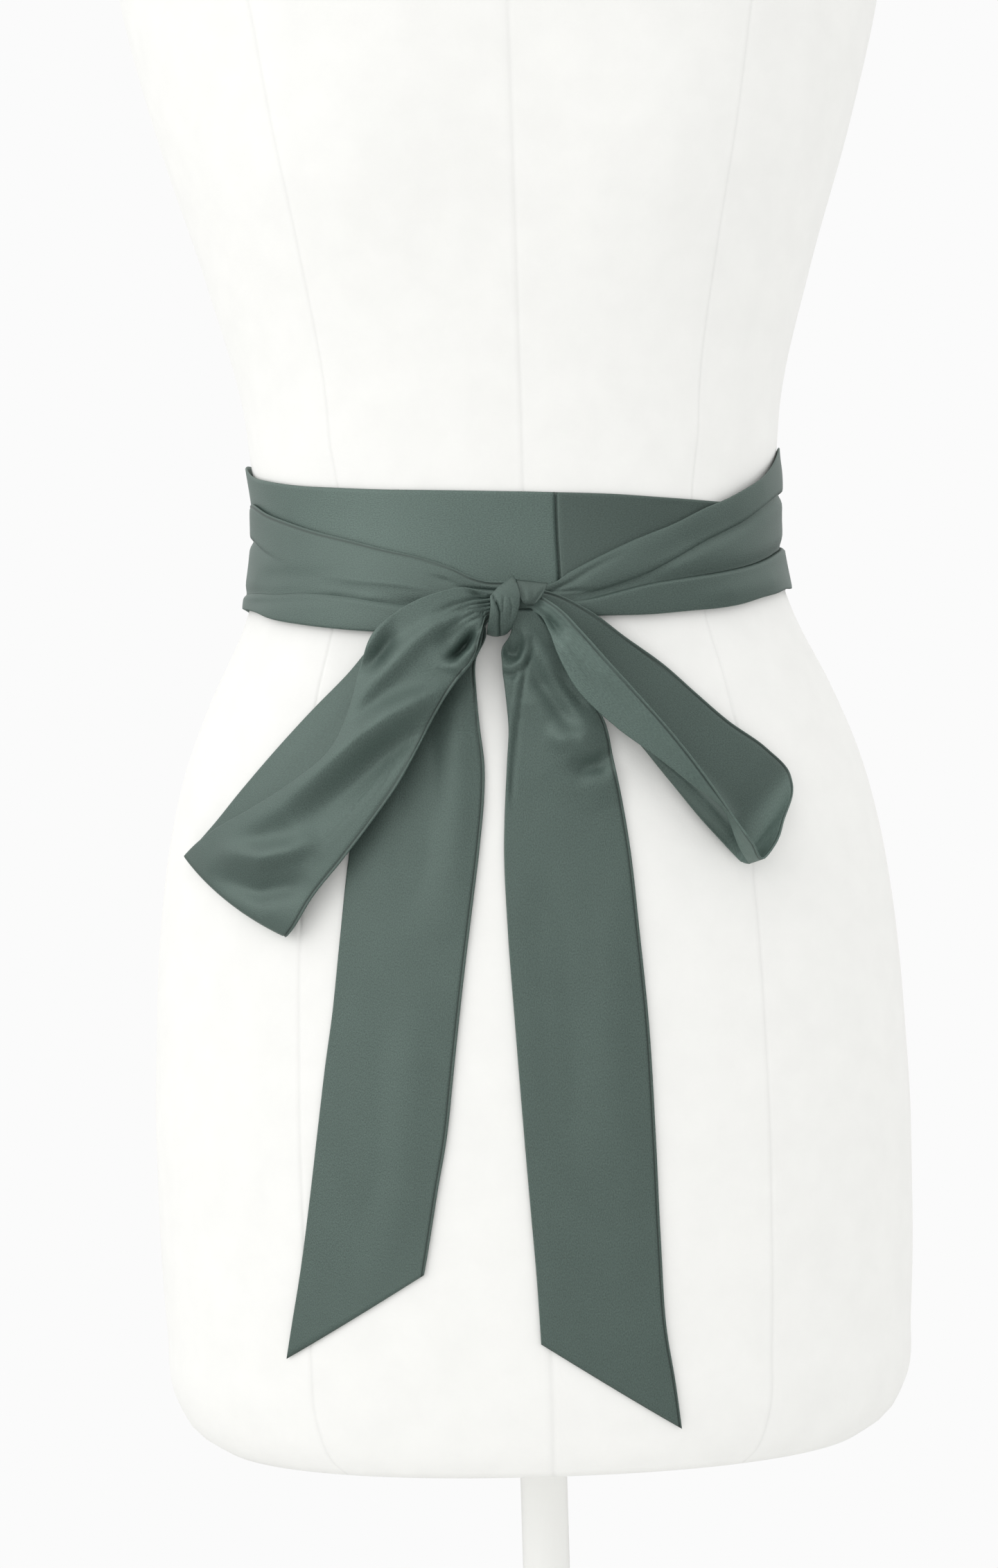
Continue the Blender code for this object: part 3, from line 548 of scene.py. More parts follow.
def pressed_tube(name, points, seam_sides, painted_light):
    """A stretch of the sash: a flat tube of cloth round a grid of points in its middle plane.

    Each side is the grid moved along its normals by half a wall. The half wall follows a quarter
    circle near the edges, so that both sides share the border, and dips at a sewn edge, where
    the mark named seam is 1. Seam sides are 0 for the first column's edge and 1 for the last's.
    The factor of painted light and shade for the stretch is one number, or a column with one for
    each row; it paints the satin lighter or darker as light falls.
    """
    rows, columns, _ = points.shape
    across, along = way_along(points, 1), way_along(points, 0)
    from_edges = [across, across[:, -1:] - across]
    nearest = np.minimum(np.minimum(*from_edges), np.minimum(along, along[-1:] - along))
    inside = 1 - np.minimum(nearest, EDGE_ROUND) / EDGE_ROUND
    settings = bpy.context.scene.sash_settings
    half_wall = settings.wall / MM / 2
    half = half_wall * np.sqrt(1 - inside**2)
    seam = np.zeros((rows, columns))
    for side in seam_sides:
        away = (from_edges[side] - settings.seam_inset / MM) / SEAM_WIDTH
        seam = np.maximum(seam, np.exp(-(away**2)))
    half = half - SEAM_DEPTH * seam * (half / half_wall)
    normal = grid_normals(points)
    front = points + normal * half[..., None]
    back = points - normal * half[..., None]
    number = np.arange(rows * columns).reshape(rows, columns)
    behind = number.copy()
    inner = (rows - 2) * (columns - 2)
    behind[1:-1, 1:-1] = rows * columns + np.arange(inner).reshape(rows - 2, columns - 2)
    quads = []
    for grid, order in ((number, (0, 1, 2, 3)), (behind, (3, 2, 1, 0))):
        corners = (grid[:-1, :-1], grid[:-1, 1:], grid[1:, 1:], grid[1:, :-1])
        quads.append(np.stack([corners[k] for k in order], axis=-1).reshape(-1, 4))
    quads = np.concatenate(quads)
    flat_uv = np.stack([along, across], axis=-1) * MM
    everything = np.concatenate([front.reshape(-1, 3), back[1:-1, 1:-1].reshape(-1, 3)])
    uv = np.concatenate([flat_uv.reshape(-1, 2), flat_uv[1:-1, 1:-1].reshape(-1, 2)])
    seam = np.concatenate([seam.ravel(), seam[1:-1, 1:-1].ravel()])
    painted_light = np.broadcast_to(painted_light, (rows, columns))
    marks = {"seam": seam, "painted_light": np.concatenate([painted_light.ravel(), painted_light[1:-1, 1:-1].ravel()])}
    return put_mesh(name, everything, quads, uv[quads.ravel()], marks)


def strip(table, folds, side=0.0, width=SASH_WIDTH, folded=(-1, 2)):
    """A grid of points for a strip in front of the form, from its table of edges.

    Each row goes straight from edge A to edge B in x, z and clearance. Side moves the middle
    plane out by half a wall, as the solid lies. Folded says on which share of the length the
    folds lie, from and to.
    """
    rows = smooth_rows(table, STRIP_STEP)
    t = across_places(width)
    x, z, out = [rows[:, [k]] + (rows[:, [k + 3]] - rows[:, [k]]) * t for k in range(3)]
    share = np.linspace(0, 1, len(rows))[:, None]
    held = np.clip((folded[1] - share) / FOLDS_FADE, 0, 1)
    held = held * np.clip((share - folded[0]) / FOLDS_FADE, 0, 1)
    out = out + side * WALL / 2 + fold_relief(x, z, folds) * held
    return x, np.maximum(out, LEAST_OUT), z


def in_front(x, out, z):
    """Points at x and z that stand clear of the form's front by out."""
    return np.stack([x, -front_depth(x, z) - out, z], axis=-1)


def wrap(table, puff, lines=(), folds=NO_FOLDS):
    """A grid of points for a stretch round the waist.

    At share t of its height the stretch swells as (4t(1 - t)) to a power. At each fold line
    it sinks in by a bell curve with an upper and a lower flank of its own. The folds are given
    by angle and height, and the angle is turned to a length along the waist.
    """
    rows = smooth_rows(table, WRAP_STEP, along=0)
    angle = rows[:, 0]
    lift = FORM_GAP + rows[:, -1] * (WALL + LAYER_GAP) + WALL / 2
    from_knot = np.clip((np.abs(angle + 90) - KNOT_FLAT) / KNOT_FLAT, 0, 1)[:, None]
    heights = []
    for band in range(len(lines) + 1):
        upper, lower = rows[:, 1 + band], rows[:, 2 + band]
        last = band == len(lines)
        for step in range(BAND_COLUMNS + 1 if last else BAND_COLUMNS):
            t = (1 - math.cos(math.pi * step / BAND_COLUMNS)) / 2
            heights.append(upper + (lower - upper) * t)
    z = np.stack(heights, axis=1)
    share = (z[:, :1] - z) / (z[:, :1] - z[:, -1:])
    relief = np.minimum(puff, SWELL_SHARE * (z[:, :1] - z[:, -1:]))
    relief = relief * (4 * share * (1 - share)) ** PUFF_POWER
    for number, (strengths, above, below) in enumerate(lines):
        away = z - rows[:, 2 + number, None]
        flank = np.where(away > 0, above, below)
        depth = np.interp(angle, *np.array(strengths, float).T)[:, None]
        relief = relief - depth * np.exp(-((away / flank) ** 2))
    turn = angle[:, None] + 0 * z
    relief = relief * from_knot + fold_relief(np.radians(turn) * WAIST_RADIUS, z, by_length(folds))
    return on_form(turn, z, np.maximum(lift[:, None] + relief, FORM_GAP + WALL / 2))


def by_length(folds):
    """The folds of a wrap, with their angles turned to lengths along the waist."""
    reach = math.radians(1) * WAIST_RADIUS
    return [[(angle * reach, *rest) for angle, *rest in fold] for fold in folds]


def carry(piece, node, material):
    """The piece stands for its node, rides with it and has the material of its slot."""
    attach(piece, "root")
    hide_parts(node)
    piece.data.materials.append(material)


def lay(name, node, points, seam_sides=(), painted_light=1.0):
    """A stretch of the sash for its node, in satin."""
    piece = pressed_tube(name, points, seam_sides, painted_light)
    carry(piece, node, satin_material())


def linear(text):
    """An sRGB hex colour as linear RGB."""
    parts = [int(text[k:k + 2], 16) / 255 for k in (1, 3, 5)]
    return tuple(p / 12.92 if p <= 0.04045 else ((p + 0.055) / 1.055) ** 2.4 for p in parts)


def add_node(tree, kind, inputs=None, **settings):
    """Adds a node: settings are its own properties, inputs are values or sockets to link."""
    node = tree.nodes.new(kind)
    for key, value in settings.items():
        setattr(node, key, value)
    for key, value in (inputs or {}).items():
        if isinstance(value, bpy.types.NodeSocket):
            tree.links.new(value, node.inputs[key])
        else:
            node.inputs[key].default_value = value
    return node


def noise(tree, place, scale, detail, roughness=0.5):
    """The noise at the place, with about as many waves to its unit as scale says."""
    return add_node(tree, "ShaderNodeTexNoise", {
        "Vector": place, "Scale": scale, "Detail": detail, "Roughness": roughness,
    }).outputs[0]


def ranged(tree, value, start=(0, 1), end=(0, 1), **settings):
    """The value, carried from the range start to the range end and held inside it."""
    return add_node(tree, "ShaderNodeMapRange", {
        "Value": value, "From Min": start[0], "From Max": start[1],
        "To Min": end[0], "To Max": end[1],
    }, **settings).outputs[0]


def math_node(tree, operation, first, second):
    """The sum or product of two values."""
    return add_node(tree, "ShaderNodeMath", {0: first, 1: second}, operation=operation).outputs[0]


def mark(tree, name):
    """The mesh's own mark of that name."""
    return add_node(tree, "ShaderNodeAttribute", attribute_name=name).outputs["Fac"]


def colour_by(tree, shader, colour, factors):
    """Gives the shader the colour times the product of the factors."""
    product = factors[0]
    for factor in factors[1:]:
        product = math_node(tree, "MULTIPLY", product, factor)
    scaled = add_node(tree, "ShaderNodeVectorMath", {0: tuple(colour), "Scale": product},
                      operation="SCALE")
    tree.links.new(scaled.outputs[0], shader.inputs["Base Color"])


def bump_by(tree, shader, height, distance, strength):
    """Gives the shader's surface a relief: the height times the distance in metres."""
    bump = add_node(tree, "ShaderNodeBump", {
        "Height": height, "Distance": distance, "Strength": strength,
    })
    tree.links.new(bump.outputs[0], shader.inputs["Normal"])


def new_material(name):
    """A new material, its node tree and its Principled shader."""
    material = bpy.data.materials.new(name)
    material.use_nodes = True
    return material, material.node_tree, material.node_tree.nodes["Principled BSDF"]


def satin_material():
    """Crepe-backed polyester satin, woven and pressed.

    Its long floats give a broad soft gloss across the strip, and its crepe yarns a fine grain
    of short streaks along it.
    """
    if "crepe_backed_satin" in bpy.data.materials:
        return bpy.data.materials["crepe_backed_satin"]
    settings = bpy.context.scene.sash_settings
    material, tree, shader = new_material("crepe_backed_satin")
    place = add_node(tree, "ShaderNodeUVMap", uv_map="cloth").outputs[0]
    scale = (1 / settings.streak_length, 1 / settings.streak_width, 1)
    stretched = add_node(tree, "ShaderNodeMapping", {"Vector": place, "Scale": scale}).outputs[0]
    streaks = noise(tree, stretched, 1.0, 2.0, 0.6)
    clouds = noise(tree, place, 45.0, 2.0)
    grain = ranged(tree, streaks, (0.35, 0.65), (0.66, 1.34))
    tone = ranged(tree, clouds, (0.3, 0.7), (0.96, 1.04))
    # The seam mark paints shade along the groove of each sewn edge, and the stretch's own factor
    # paints light and shade on the whole stretch.
    shade = ranged(tree, mark(tree, "seam"), end=(1.0, 0.15))
    colour_by(tree, shader, settings.satin, (grain, tone, shade, mark(tree, "painted_light")))
    rough = ranged(tree, streaks, (0.3, 0.7), (0.48, 0.56))
    tree.links.new(rough, shader.inputs["Roughness"])
    bump_by(tree, shader, streaks, 0.00015, 0.9)
    shader.inputs["IOR"].default_value = 1.75
    shader.inputs["Specular IOR Level"].default_value = 1.0
    shader.inputs["Specular Tint"].default_value = (*linear("#C3D6CD"), 1)
    return material


def canvas_material():
    """White canvas under matt paint, stretched over the form: dull, with a fine dry grain."""
    if "painted_canvas" in bpy.data.materials:
        return bpy.data.materials["painted_canvas"]
    settings = bpy.context.scene.form_settings
    material, tree, shader = new_material("painted_canvas")
    place = add_node(tree, "ShaderNodeTexCoord").outputs["Object"]
    weave = noise(tree, place, 900.0, 2.0)
    dabs = noise(tree, place, 60.0, 4.0)
    tone = ranged(tree, dabs, (0.3, 0.7), (0.97, 1.0))
    # The seam mark paints a faint shade along the groove of each seam.
    shade = ranged(tree, mark(tree, "seam"), end=(1.0, 0.95))
    colour_by(tree, shader, settings.canvas, (tone, shade))
    bump_by(tree, shader, math_node(tree, "ADD", weave, dabs), 0.00012, 0.5)
    shader.inputs["Roughness"].default_value = 0.75
    shader.inputs["Specular IOR Level"].default_value = 0.3
    return material


def enamel_material():
    """Steel under white enamel, sprayed: smooth, with a soft gloss and a few chips."""
    if "white_enamel" in bpy.data.materials:
        return bpy.data.materials["white_enamel"]
    settings = bpy.context.scene.form_settings
    material, tree, shader = new_material("white_enamel")
    place = add_node(tree, "ShaderNodeTexCoord").outputs["Object"]
    chipped = ranged(tree, noise(tree, place, 70.0, 3.0), (0.765, 0.78))
    colour = add_node(tree, "ShaderNodeMix", {
        0: chipped, 6: (*settings.enamel, 1), 7: (*linear("#6B5F57"), 1),
    }, data_type="RGBA")
    tree.links.new(colour.outputs[2], shader.inputs["Base Color"])
    skin = noise(tree, place, 300.0, 2.0)
    bump_by(tree, shader, skin, 0.00005, 0.4)
    tree.links.new(ranged(tree, skin, end=(0.34, 0.44)), shader.inputs["Roughness"])
    return material


def colour_setting(name, description, text):
    """A colour for the panel, from sRGB hex."""
    return bpy.props.FloatVectorProperty(
        name=name, description=description, subtype="COLOR", size=3,
        default=linear(text), min=0, max=1,
    )


def length_setting(name, description, default, least, most):
    """A length for the panel, from millimetres."""
    return bpy.props.FloatProperty(
        name=name, description=description, unit="LENGTH",
        default=default * MM, min=least * MM, max=most * MM,
    )


class SashSettings(bpy.types.PropertyGroup):
    """Sizes and colour of the cloth."""

    satin: colour_setting("Satin", "Colour of the satin", "#43524D")
    wall: length_setting("Thickness", "Both layers of the pressed tube", 0.9, 0.2, WALL)
    seam_inset: length_setting(
        "Seam from edge", "From the sewn edge to the line of its seam", 1.3, 0.5, 4,
    )
    streak_width: length_setting("Streak width", "Width of the crepe's streaks", 0.45, 0.1, 5)
    streak_length: length_setting("Streak length", "Length of the crepe's streaks", 0.75, 0.1, 20)


class FormSettings(bpy.types.PropertyGroup):
    """Colours of the dress form and its stand."""

    canvas: colour_setting("Canvas", "Colour of the painted canvas", "#F2F2EF")
    enamel: colour_setting("Enamel", "Colour of the pole and base", "#F1F1EE")


class StudioSettings(bpy.types.PropertyGroup):
    """Light of the studio."""

    surround: bpy.props.FloatProperty(
        name="Surround", description="Strength of the light from all round",
        default=1.06, min=0, max=5,
    )
    key: bpy.props.FloatProperty(
        name="Key", description="Power of the soft light on the left", unit="POWER",
        default=12.0, min=0, max=1000,
    )
    backdrop: colour_setting("Backdrop", "Colour behind the form", "#FBFBFB")


class SASH_OT_first_turn(bpy.types.Operator):
    """Build the first turn, which meets at the centre seam"""

    bl_idname = "sash.first_turn"
    bl_label = "First turn"

    def execute(self, context):
        # The left stretch is painted lighter and the right one darker: painted light and shade.
        lay("first_turn_left", "first_wrap_left", wrap(FIRST_LEFT, FIRST_PUFF),
            painted_light=LEFT_PAINTED_LIGHT)
        points = wrap(FIRST_RIGHT, FIRST_PUFF, (), FIRST_RIGHT_FOLDS)
        lay("first_turn_right", "first_wrap_right", points,
            painted_light=RIGHT_PAINTED_LIGHT)
        return {"FINISHED"}


class SASH_OT_back_turns(bpy.types.Operator):
    """Build the stretches that pass each other at the back"""

    bl_idname = "sash.back_turns"
    bl_label = "Back"

    def execute(self, context):
        upper = wrap(BACK_UPPER, BACK_PUFF, BACK_UPPER_LINES, BACK_UPPER_FOLDS)
        lower = wrap(BACK_LOWER, BACK_PUFF, BACK_LOWER_LINES, BACK_LOWER_FOLDS)
        for name, node, points in (
            ("back_turn_upper", "back_upper", upper), ("back_turn_lower", "back_lower", lower),
        ):
            lay(name, node, points)
        return {"FINISHED"}


class SASH_OT_second_turn(bpy.types.Operator):
    """Build the pleated second turn, gathered into the knot"""

    bl_idname = "sash.second_turn"
    bl_label = "Second turn"

    def execute(self, context):
        points = wrap(SECOND_LEFT, SECOND_PUFF, SECOND_LEFT_LINES, SECOND_LEFT_FOLDS)
        lay("second_turn_left", "wrap_left", points,
            (0,))
        points = wrap(SECOND_RIGHT, SECOND_PUFF, SECOND_RIGHT_LINES, SECOND_RIGHT_FOLDS)
        lay("second_turn_right", "wrap_right", points,
            painted_light=WRAP_PAINTED_LIGHT)
        return {"FINISHED"}


class SASH_OT_knot(bpy.types.Operator):
    """Build the strand round the knot and its fold"""

    bl_idname = "sash.knot"
    bl_label = "Knot"

    def execute(self, context):
        lay("knot_strand", "knot_band", knot_points(),
            painted_light=KNOT_PAINTED_LIGHT)
        points = in_front(*strip(KNOT_FLAP, FLAP_FOLDS, 1, FLAP_WIDTH))
        lay("knot_fold", "knot_flap", points,
            painted_light=FLAP_PAINTED_LIGHT)
        return {"FINISHED"}


def knot_points():
    """A ring round the gathered ends: an ellipse in height and clearance, whose edges are read
    from the table by height, with creases where the strand is pulled tight."""
    foot, end = KNOT_TURN
    turn = np.linspace(foot * math.pi, end * math.pi, KNOT_STEPS)[:, None]
    t = across_places(KNOT_WIDTH)[None, :]
    table = np.array(KNOT_BAND, float)
    z = KNOT_HEIGHT + KNOT_HALF_HEIGHT * np.sin(turn)
    left = np.interp(z, table[:, 0], table[:, 1])
    right = np.interp(z, table[:, 0], table[:, 2])
    x = left + (right - left) * t
    swell = KNOT_SWELL * np.sin(math.pi * t) ** KNOT_SWELL_POWER
    z = z + 0 * x
    crease = np.where(np.cos(turn) > 0, fold_relief(x, z, KNOT_FOLDS), 0)
    size = swell + crease
    out = KNOT_OUT + (KNOT_HALF_DEPTH + size) * np.cos(turn)
    z = z + size * np.sin(turn)
    middle = front_depth(np.array(KNOT_MIDDLE), np.array(KNOT_HEIGHT))
    return np.stack([x, -middle - out, z], axis=-1)


class SASH_OT_loops(bpy.types.Operator):
    """Build the two loops of the bow"""

    bl_idname = "sash.loops"
    bl_label = "Loops"

    def execute(self, context):
        x, out, z = strip(LOOP_LEFT, LOOP_LEFT_FOLDS + LOOP_LEFT_GATHERS, folded=LEFT_FOLDED)
        middle = 4 * (x - x[:, :1]) * (x[:, -1:] - x) / np.maximum((x[:, -1:] - x[:, :1]) ** 2, 1)
        end = np.exp(-(((x[:, :1] - LOOP_END_X) / LOOP_END_REACH) ** 2)) * middle
        x = x - LOOP_END_WAY[0] * LOOP_END_BULGE * end
        z = z - LOOP_END_WAY[1] * LOOP_END_BULGE * end
        lay("bow_loop_left", "loop_left", in_front(x, out, z),
            (1,))
        x, out, z = strip(LOOP_RIGHT, LOOP_RIGHT_FOLDS, folded=RIGHT_FOLDED)
        share = np.linspace(0, 1, len(x))[:, None]
        behind = np.clip((BEHIND_END - share) / BEHIND_FADE, 0, 1)
        out = out + fold_relief(x, z, LOOP_RIGHT_BEHIND) * behind
        # The front layer is painted lighter and the back layer darker: painted light and shade.
        painted_light = BEFORE_PAINTED_LIGHT + (BEHIND_PAINTED_LIGHT - BEFORE_PAINTED_LIGHT) * behind
        lay("bow_loop_right", "loop_right", in_front(x, out, z),
            (0,), painted_light)
        return {"FINISHED"}


class SASH_OT_tails(bpy.types.Operator):
    """Build the two hanging ends"""

    bl_idname = "sash.tails"
    bl_label = "Tails"

    def execute(self, context):
        lay("tail_end_left", "tail_left", in_front(*strip(TAIL_LEFT, TAIL_LEFT_FOLDS, 1)),
            (1,))
        lay("tail_end_right", "tail_right", in_front(*strip(TAIL_RIGHT, TAIL_RIGHT_FOLDS, 1)),
            (1,))
        return {"FINISHED"}


# The form's seams: height and angle of each, their own size, the form's radius there, and how a
# panel's columns are spread
PANEL_SEAM_WIDTH = 0.8
PANEL_SEAM_DEPTH = 0.35
PANEL_RADIUS = 145.0
SEAM_STEPS = (0, 0.5, 1.1, 2.2)
PANEL_COLUMNS = 16
PANEL_SEAMS = (
    ((566, -89.1), (1032, -88.9), (1207, -89.4), (1455, -89)),
    ((566, -56.5), (827, -56), (1026, -50), (1208, -52), (1455, -50)),
    ((566, 0), (1455, 0)),
    ((566, 52), (1026, 56), (1455, 50)),
    ((566, 90), (1455, 90)),
    ((566, 128), (1026, 124), (1455, 130)),
    ((566, 180), (1455, 180)),
    ((566, 236.5), (827, 236), (1026, 230), (1208, 232), (1455, 230)),
)


def torso_points():
    """Rings of the torso from its foot up, with columns close together beside each seam.

    Between two seams the angle goes evenly from one to the other, and each seam is a bell
    curve of the distance to it, sunk into the surface.
    """
    z = smooth_rows(FORM_ROWS, TORSO_STEP, along=0)[:, 0]
    lines = [np.interp(z, *np.array(seam, float).T) for seam in PANEL_SEAMS]
    lines.append(lines[0] + 360)
    angles, depths = [], []
    degree = np.pi * PANEL_RADIUS / 180
    edge = np.array(SEAM_STEPS)[None, :] / degree
    for left, right in zip(lines, lines[1:]):
        span = (right - left)[:, None]
        inner = np.linspace(0, 1, PANEL_COLUMNS)[None, 1:-1]
        start = edge + 0 * span
        finish = (span - edge)[:, ::-1]
        middle = start[:, -1:] + (finish[:, :1] - start[:, -1:]) * inner
        offsets = np.concatenate([start, middle, finish[:, :-1]], axis=1)
        angles.append(left[:, None] + offsets)
        away = np.minimum(offsets, span - offsets) * degree
        depths.append(np.exp(-((away / PANEL_SEAM_WIDTH) ** 2)))
    angle, seam = np.concatenate(angles, axis=1), np.concatenate(depths, axis=1)
    return on_form(angle, z[:, None] + 0 * angle, -PANEL_SEAM_DEPTH * seam), seam


class SASH_OT_dress_form(bpy.types.Operator):
    """Build the torso of the dress form"""

    bl_idname = "sash.dress_form"
    bl_label = "Dress form"

    def execute(self, context):
        points, seam = torso_points()
        torso = closed_rings("torso_canvas", points, {"seam": seam})
        carry(torso, "form_torso", canvas_material())
        return {"FINISHED"}


def closed_rings(name, points, marks):
    """A closed body through rings of points, from the lowest up, with a flat cap at both ends.

    A cap is a fan of quads to smaller copies of its ring, down to a ring of no size.
    """
    first, last = points[0], points[-1]
    rows = [first.mean(axis=0) + (first - first.mean(axis=0)) * s for s in CAP_RINGS]
    tops = [last.mean(axis=0) + (last - last.mean(axis=0)) * s for s in CAP_RINGS[::-1]]
    whole = np.concatenate([rows, points, tops])
    count, around, _ = whole.shape
    number = np.arange(count * around).reshape(count, around)
    beside = np.roll(number, -1, axis=1)
    quads = np.stack([number[:-1], beside[:-1], beside[1:], number[1:]], axis=-1).reshape(-1, 4)
    spread = {}
    for label, values in marks.items():
        edge = np.zeros((4, around))
        spread[label] = np.concatenate([edge, values, edge])
    obj = put_mesh(name, whole.reshape(-1, 3), quads, None, spread)
    weld = obj.modifiers.new("poles", "WELD")
    weld.merge_threshold = 0.00001
    return obj


def turned(name, profile, steps):
    """A turned body: the profile's radius and height carried round the Z axis."""
    profile = np.array(profile, float)
    turn = np.linspace(0, 2 * math.pi, steps, endpoint=False)
    x = profile[:, :1] * np.cos(turn)
    y = profile[:, :1] * np.sin(turn)
    z = profile[:, 1:] + 0 * x
    return closed_rings(name, np.stack([x, y, z], axis=-1), {})


def rounded(corners, radius, steps=5):
    """An outline with each inner corner replaced by a short arc (a quadratic curve)."""
    corners = np.array(corners, float)
    line = [corners[:1]]
    t = np.linspace(0, 1, steps)[:, None]
    for before, here, after in zip(corners, corners[1:], corners[2:]):
        sizes = [np.linalg.norm(before - here), np.linalg.norm(after - here)]
        reach = min(radius, 0.45 * min(sizes))
        a = here + (before - here) / sizes[0] * reach
        b = here + (after - here) / sizes[1] * reach
        line.append((1 - t) ** 2 * a + 2 * t * (1 - t) * here + t**2 * b)
    line.append(corners[-1:])
    return np.concatenate(line)


class SASH_OT_stand(bpy.types.Operator):
    """Build the pole and the round base"""

    bl_idname = "sash.stand"
    bl_label = "Stand"

    def execute(self, context):
        bottom, top = SOCKET_TOP + MEET_GAP, FORM_ROWS[0][0] - MEET_GAP
        heights = np.linspace(bottom + POLE_ROUND, top - POLE_ROUND, POLE_ROWS)
        edge = POLE_RADIUS - POLE_ROUND
        shaft = [(edge, bottom), *[(POLE_RADIUS, z) for z in heights], (edge, top)]
        pole = turned("stand_pole", shaft, POLE_STEPS)
        carry(pole, "form_pole", enamel_material())
        base = turned("stand_base", rounded(BASE_CORNERS, BASE_ROUND), BASE_STEPS)
        carry(base, "form_base", enamel_material())
        return {"FINISHED"}


class SASH_OT_stage(bpy.types.Operator):
    """Build the floor, the light and the camera"""

    bl_idname = "sash.stage"
    bl_label = "Studio"

    def execute(self, context):
        settings = context.scene.studio_settings
        turn = np.linspace(0, 2 * math.pi, FLOOR_STEPS, endpoint=False)
        radii = np.array(FLOOR_RADII)[:, None]
        points = np.stack([radii * np.cos(turn), radii * np.sin(turn), 0 * radii * turn], axis=-1)
        number = np.arange(points.shape[0] * FLOOR_STEPS).reshape(-1, FLOOR_STEPS)
        beside = np.roll(number, -1, axis=1)
        quads = np.stack([number[:-1], number[1:], beside[1:], beside[:-1]], axis=-1)
        floor = put_mesh("floor", points.reshape(-1, 3), quads.reshape(-1, 4), None, {})
        floor.data.materials.append(floor_material())

        world = bpy.data.worlds.new("studio")
        context.scene.world = world
        world.use_nodes = True
        tree = world.node_tree
        path = add_node(tree, "ShaderNodeLightPath").outputs
        way = add_node(tree, "ShaderNodeTexCoord").outputs["Generated"]
        dim = tuple(Vector(DIM_SIDE).normalized())
        facing = add_node(tree, "ShaderNodeVectorMath", {0: way, 1: dim},
                          operation="DOT_PRODUCT").outputs["Value"]
        surround = settings.surround
        shares = (surround * MATT_SHARE, surround * DIM_SHARE)
        least = ranged(tree, path["Is Glossy Ray"], end=shares)
        side = [math.cos(math.radians(angle)) for angle in (DIM_EDGE, DIM_CORE)]
        level = ranged(tree, facing, side, (surround, least), interpolation_type="SMOOTHSTEP")
        colour = add_node(tree, "ShaderNodeMix", {
            0: path["Is Camera Ray"], 6: level, 7: (*settings.backdrop, 1),
        }, data_type="RGBA")
        tree.links.new(colour.outputs[2], tree.nodes["Background"].inputs["Color"])

        add_light("key", KEY_PLACE, KEY_SIZE, settings.key)

        data = bpy.data.cameras.new("camera")
        data.lens = CAMERA_LENS
        data.sensor_width = CAMERA_SENSOR
        data.sensor_height = CAMERA_SENSOR
        data.sensor_fit = "VERTICAL"
        camera = bpy.data.objects.new("camera", data)
        context.scene.collection.objects.link(camera)
        camera.location = Vector(CAMERA_PLACE) * MM
        level = Euler((math.radians(90), 0, 0)).to_matrix()
        roll = Euler((0, 0, math.radians(-CAMERA_ROLL))).to_matrix()
        camera.rotation_euler = (level @ roll).to_euler()
        context.scene.camera = camera
        context.scene.view_settings.view_transform = "Standard"
        return {"FINISHED"}


def add_light(name, place, size, power):
    """A rectangular soft light at place that faces the waist."""
    data = bpy.data.lights.new(name, "AREA")
    data.shape = "RECTANGLE"
    data.size, data.size_y = size
    data.energy = power
    light = bpy.data.objects.new(name, data)
    bpy.context.scene.collection.objects.link(light)
    light.location = place
    aim = Vector(LIGHT_AIM) - light.location
    light.rotation_euler = aim.to_track_quat("-Z", "Y").to_euler()
    return light


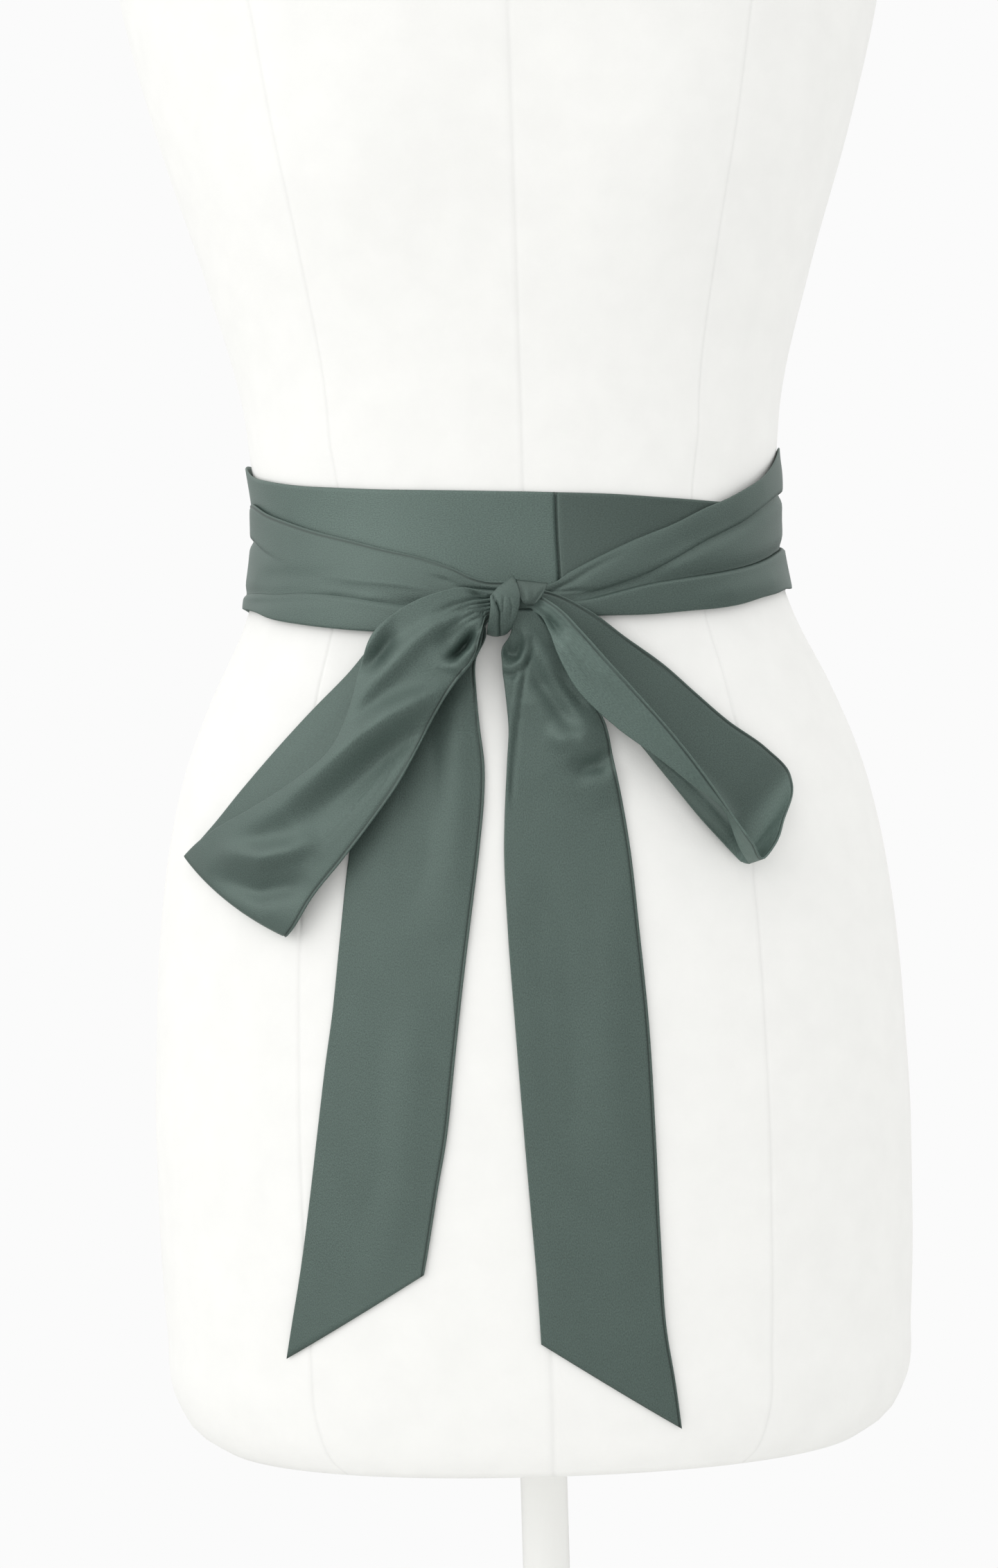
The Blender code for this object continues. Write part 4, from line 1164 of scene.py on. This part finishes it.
def floor_material():
    """Pale matt floor that fades into the backdrop away from the stand, and is darker in gloss."""
    settings = bpy.context.scene.studio_settings
    material, tree, shader = new_material("pale_floor")
    place = add_node(tree, "ShaderNodeTexCoord").outputs["Object"]
    away = add_node(tree, "ShaderNodeVectorMath", {0: place}, operation="LENGTH")
    share = ranged(tree, away.outputs["Value"], FLOOR_FADE, interpolation_type="SMOOTHSTEP")
    shader.inputs["Base Color"].default_value = (*linear("#F2F2F1"), 1)
    shader.inputs["Roughness"].default_value = 0.6
    glow = add_node(tree, "ShaderNodeEmission", {"Color": (*settings.backdrop, 1)})
    mix = add_node(tree, "ShaderNodeMixShader", {
        0: share, 1: shader.outputs[0], 2: glow.outputs[0],
    })
    path = add_node(tree, "ShaderNodeLightPath").outputs
    less = math_node(tree, "MULTIPLY", path["Is Glossy Ray"], 1 - FLOOR_SHARE)
    dark = add_node(tree, "ShaderNodeEmission", {"Color": (0, 0, 0, 1)})
    seen = add_node(tree, "ShaderNodeMixShader", {0: less, 1: mix.outputs[0], 2: dark.outputs[0]})
    tree.links.new(seen.outputs[0], tree.nodes["Material Output"].inputs["Surface"])
    return material


class SASH_PT_panel(bpy.types.Panel):
    """The sash's pieces, in the order in which they are built"""

    bl_idname = "SASH_PT_panel"
    bl_label = "Satin sash"
    bl_space_type = "VIEW_3D"
    bl_region_type = "UI"
    bl_category = "Sash"

    def draw(self, context):
        layout = self.layout
        for group, kind in GROUPS.items():
            for name in kind.__annotations__:
                layout.prop(getattr(context.scene, group), name)
        for operator in OPERATORS:
            layout.operator(operator.bl_idname)


OPERATORS = (
    SASH_OT_dress_form, SASH_OT_stand, SASH_OT_first_turn, SASH_OT_back_turns,
    SASH_OT_second_turn, SASH_OT_knot, SASH_OT_loops, SASH_OT_tails, SASH_OT_stage,
)
GROUPS = {
    "sash_settings": SashSettings, "form_settings": FormSettings, "studio_settings": StudioSettings,
}
CLASSES = (*GROUPS.values(), *OPERATORS, SASH_PT_panel)


def register():
    for item in CLASSES:
        bpy.utils.register_class(item)
    for name, group in GROUPS.items():
        setattr(bpy.types.Scene, name, bpy.props.PointerProperty(type=group))


def unregister():
    for name in GROUPS:
        delattr(bpy.types.Scene, name)
    for item in reversed(CLASSES):
        bpy.utils.unregister_class(item)


def main():
    register()
    for operator in OPERATORS:
        group, name = operator.bl_idname.split(".")
        getattr(getattr(bpy.ops, group), name)()


if __name__ == "__main__":
    main()
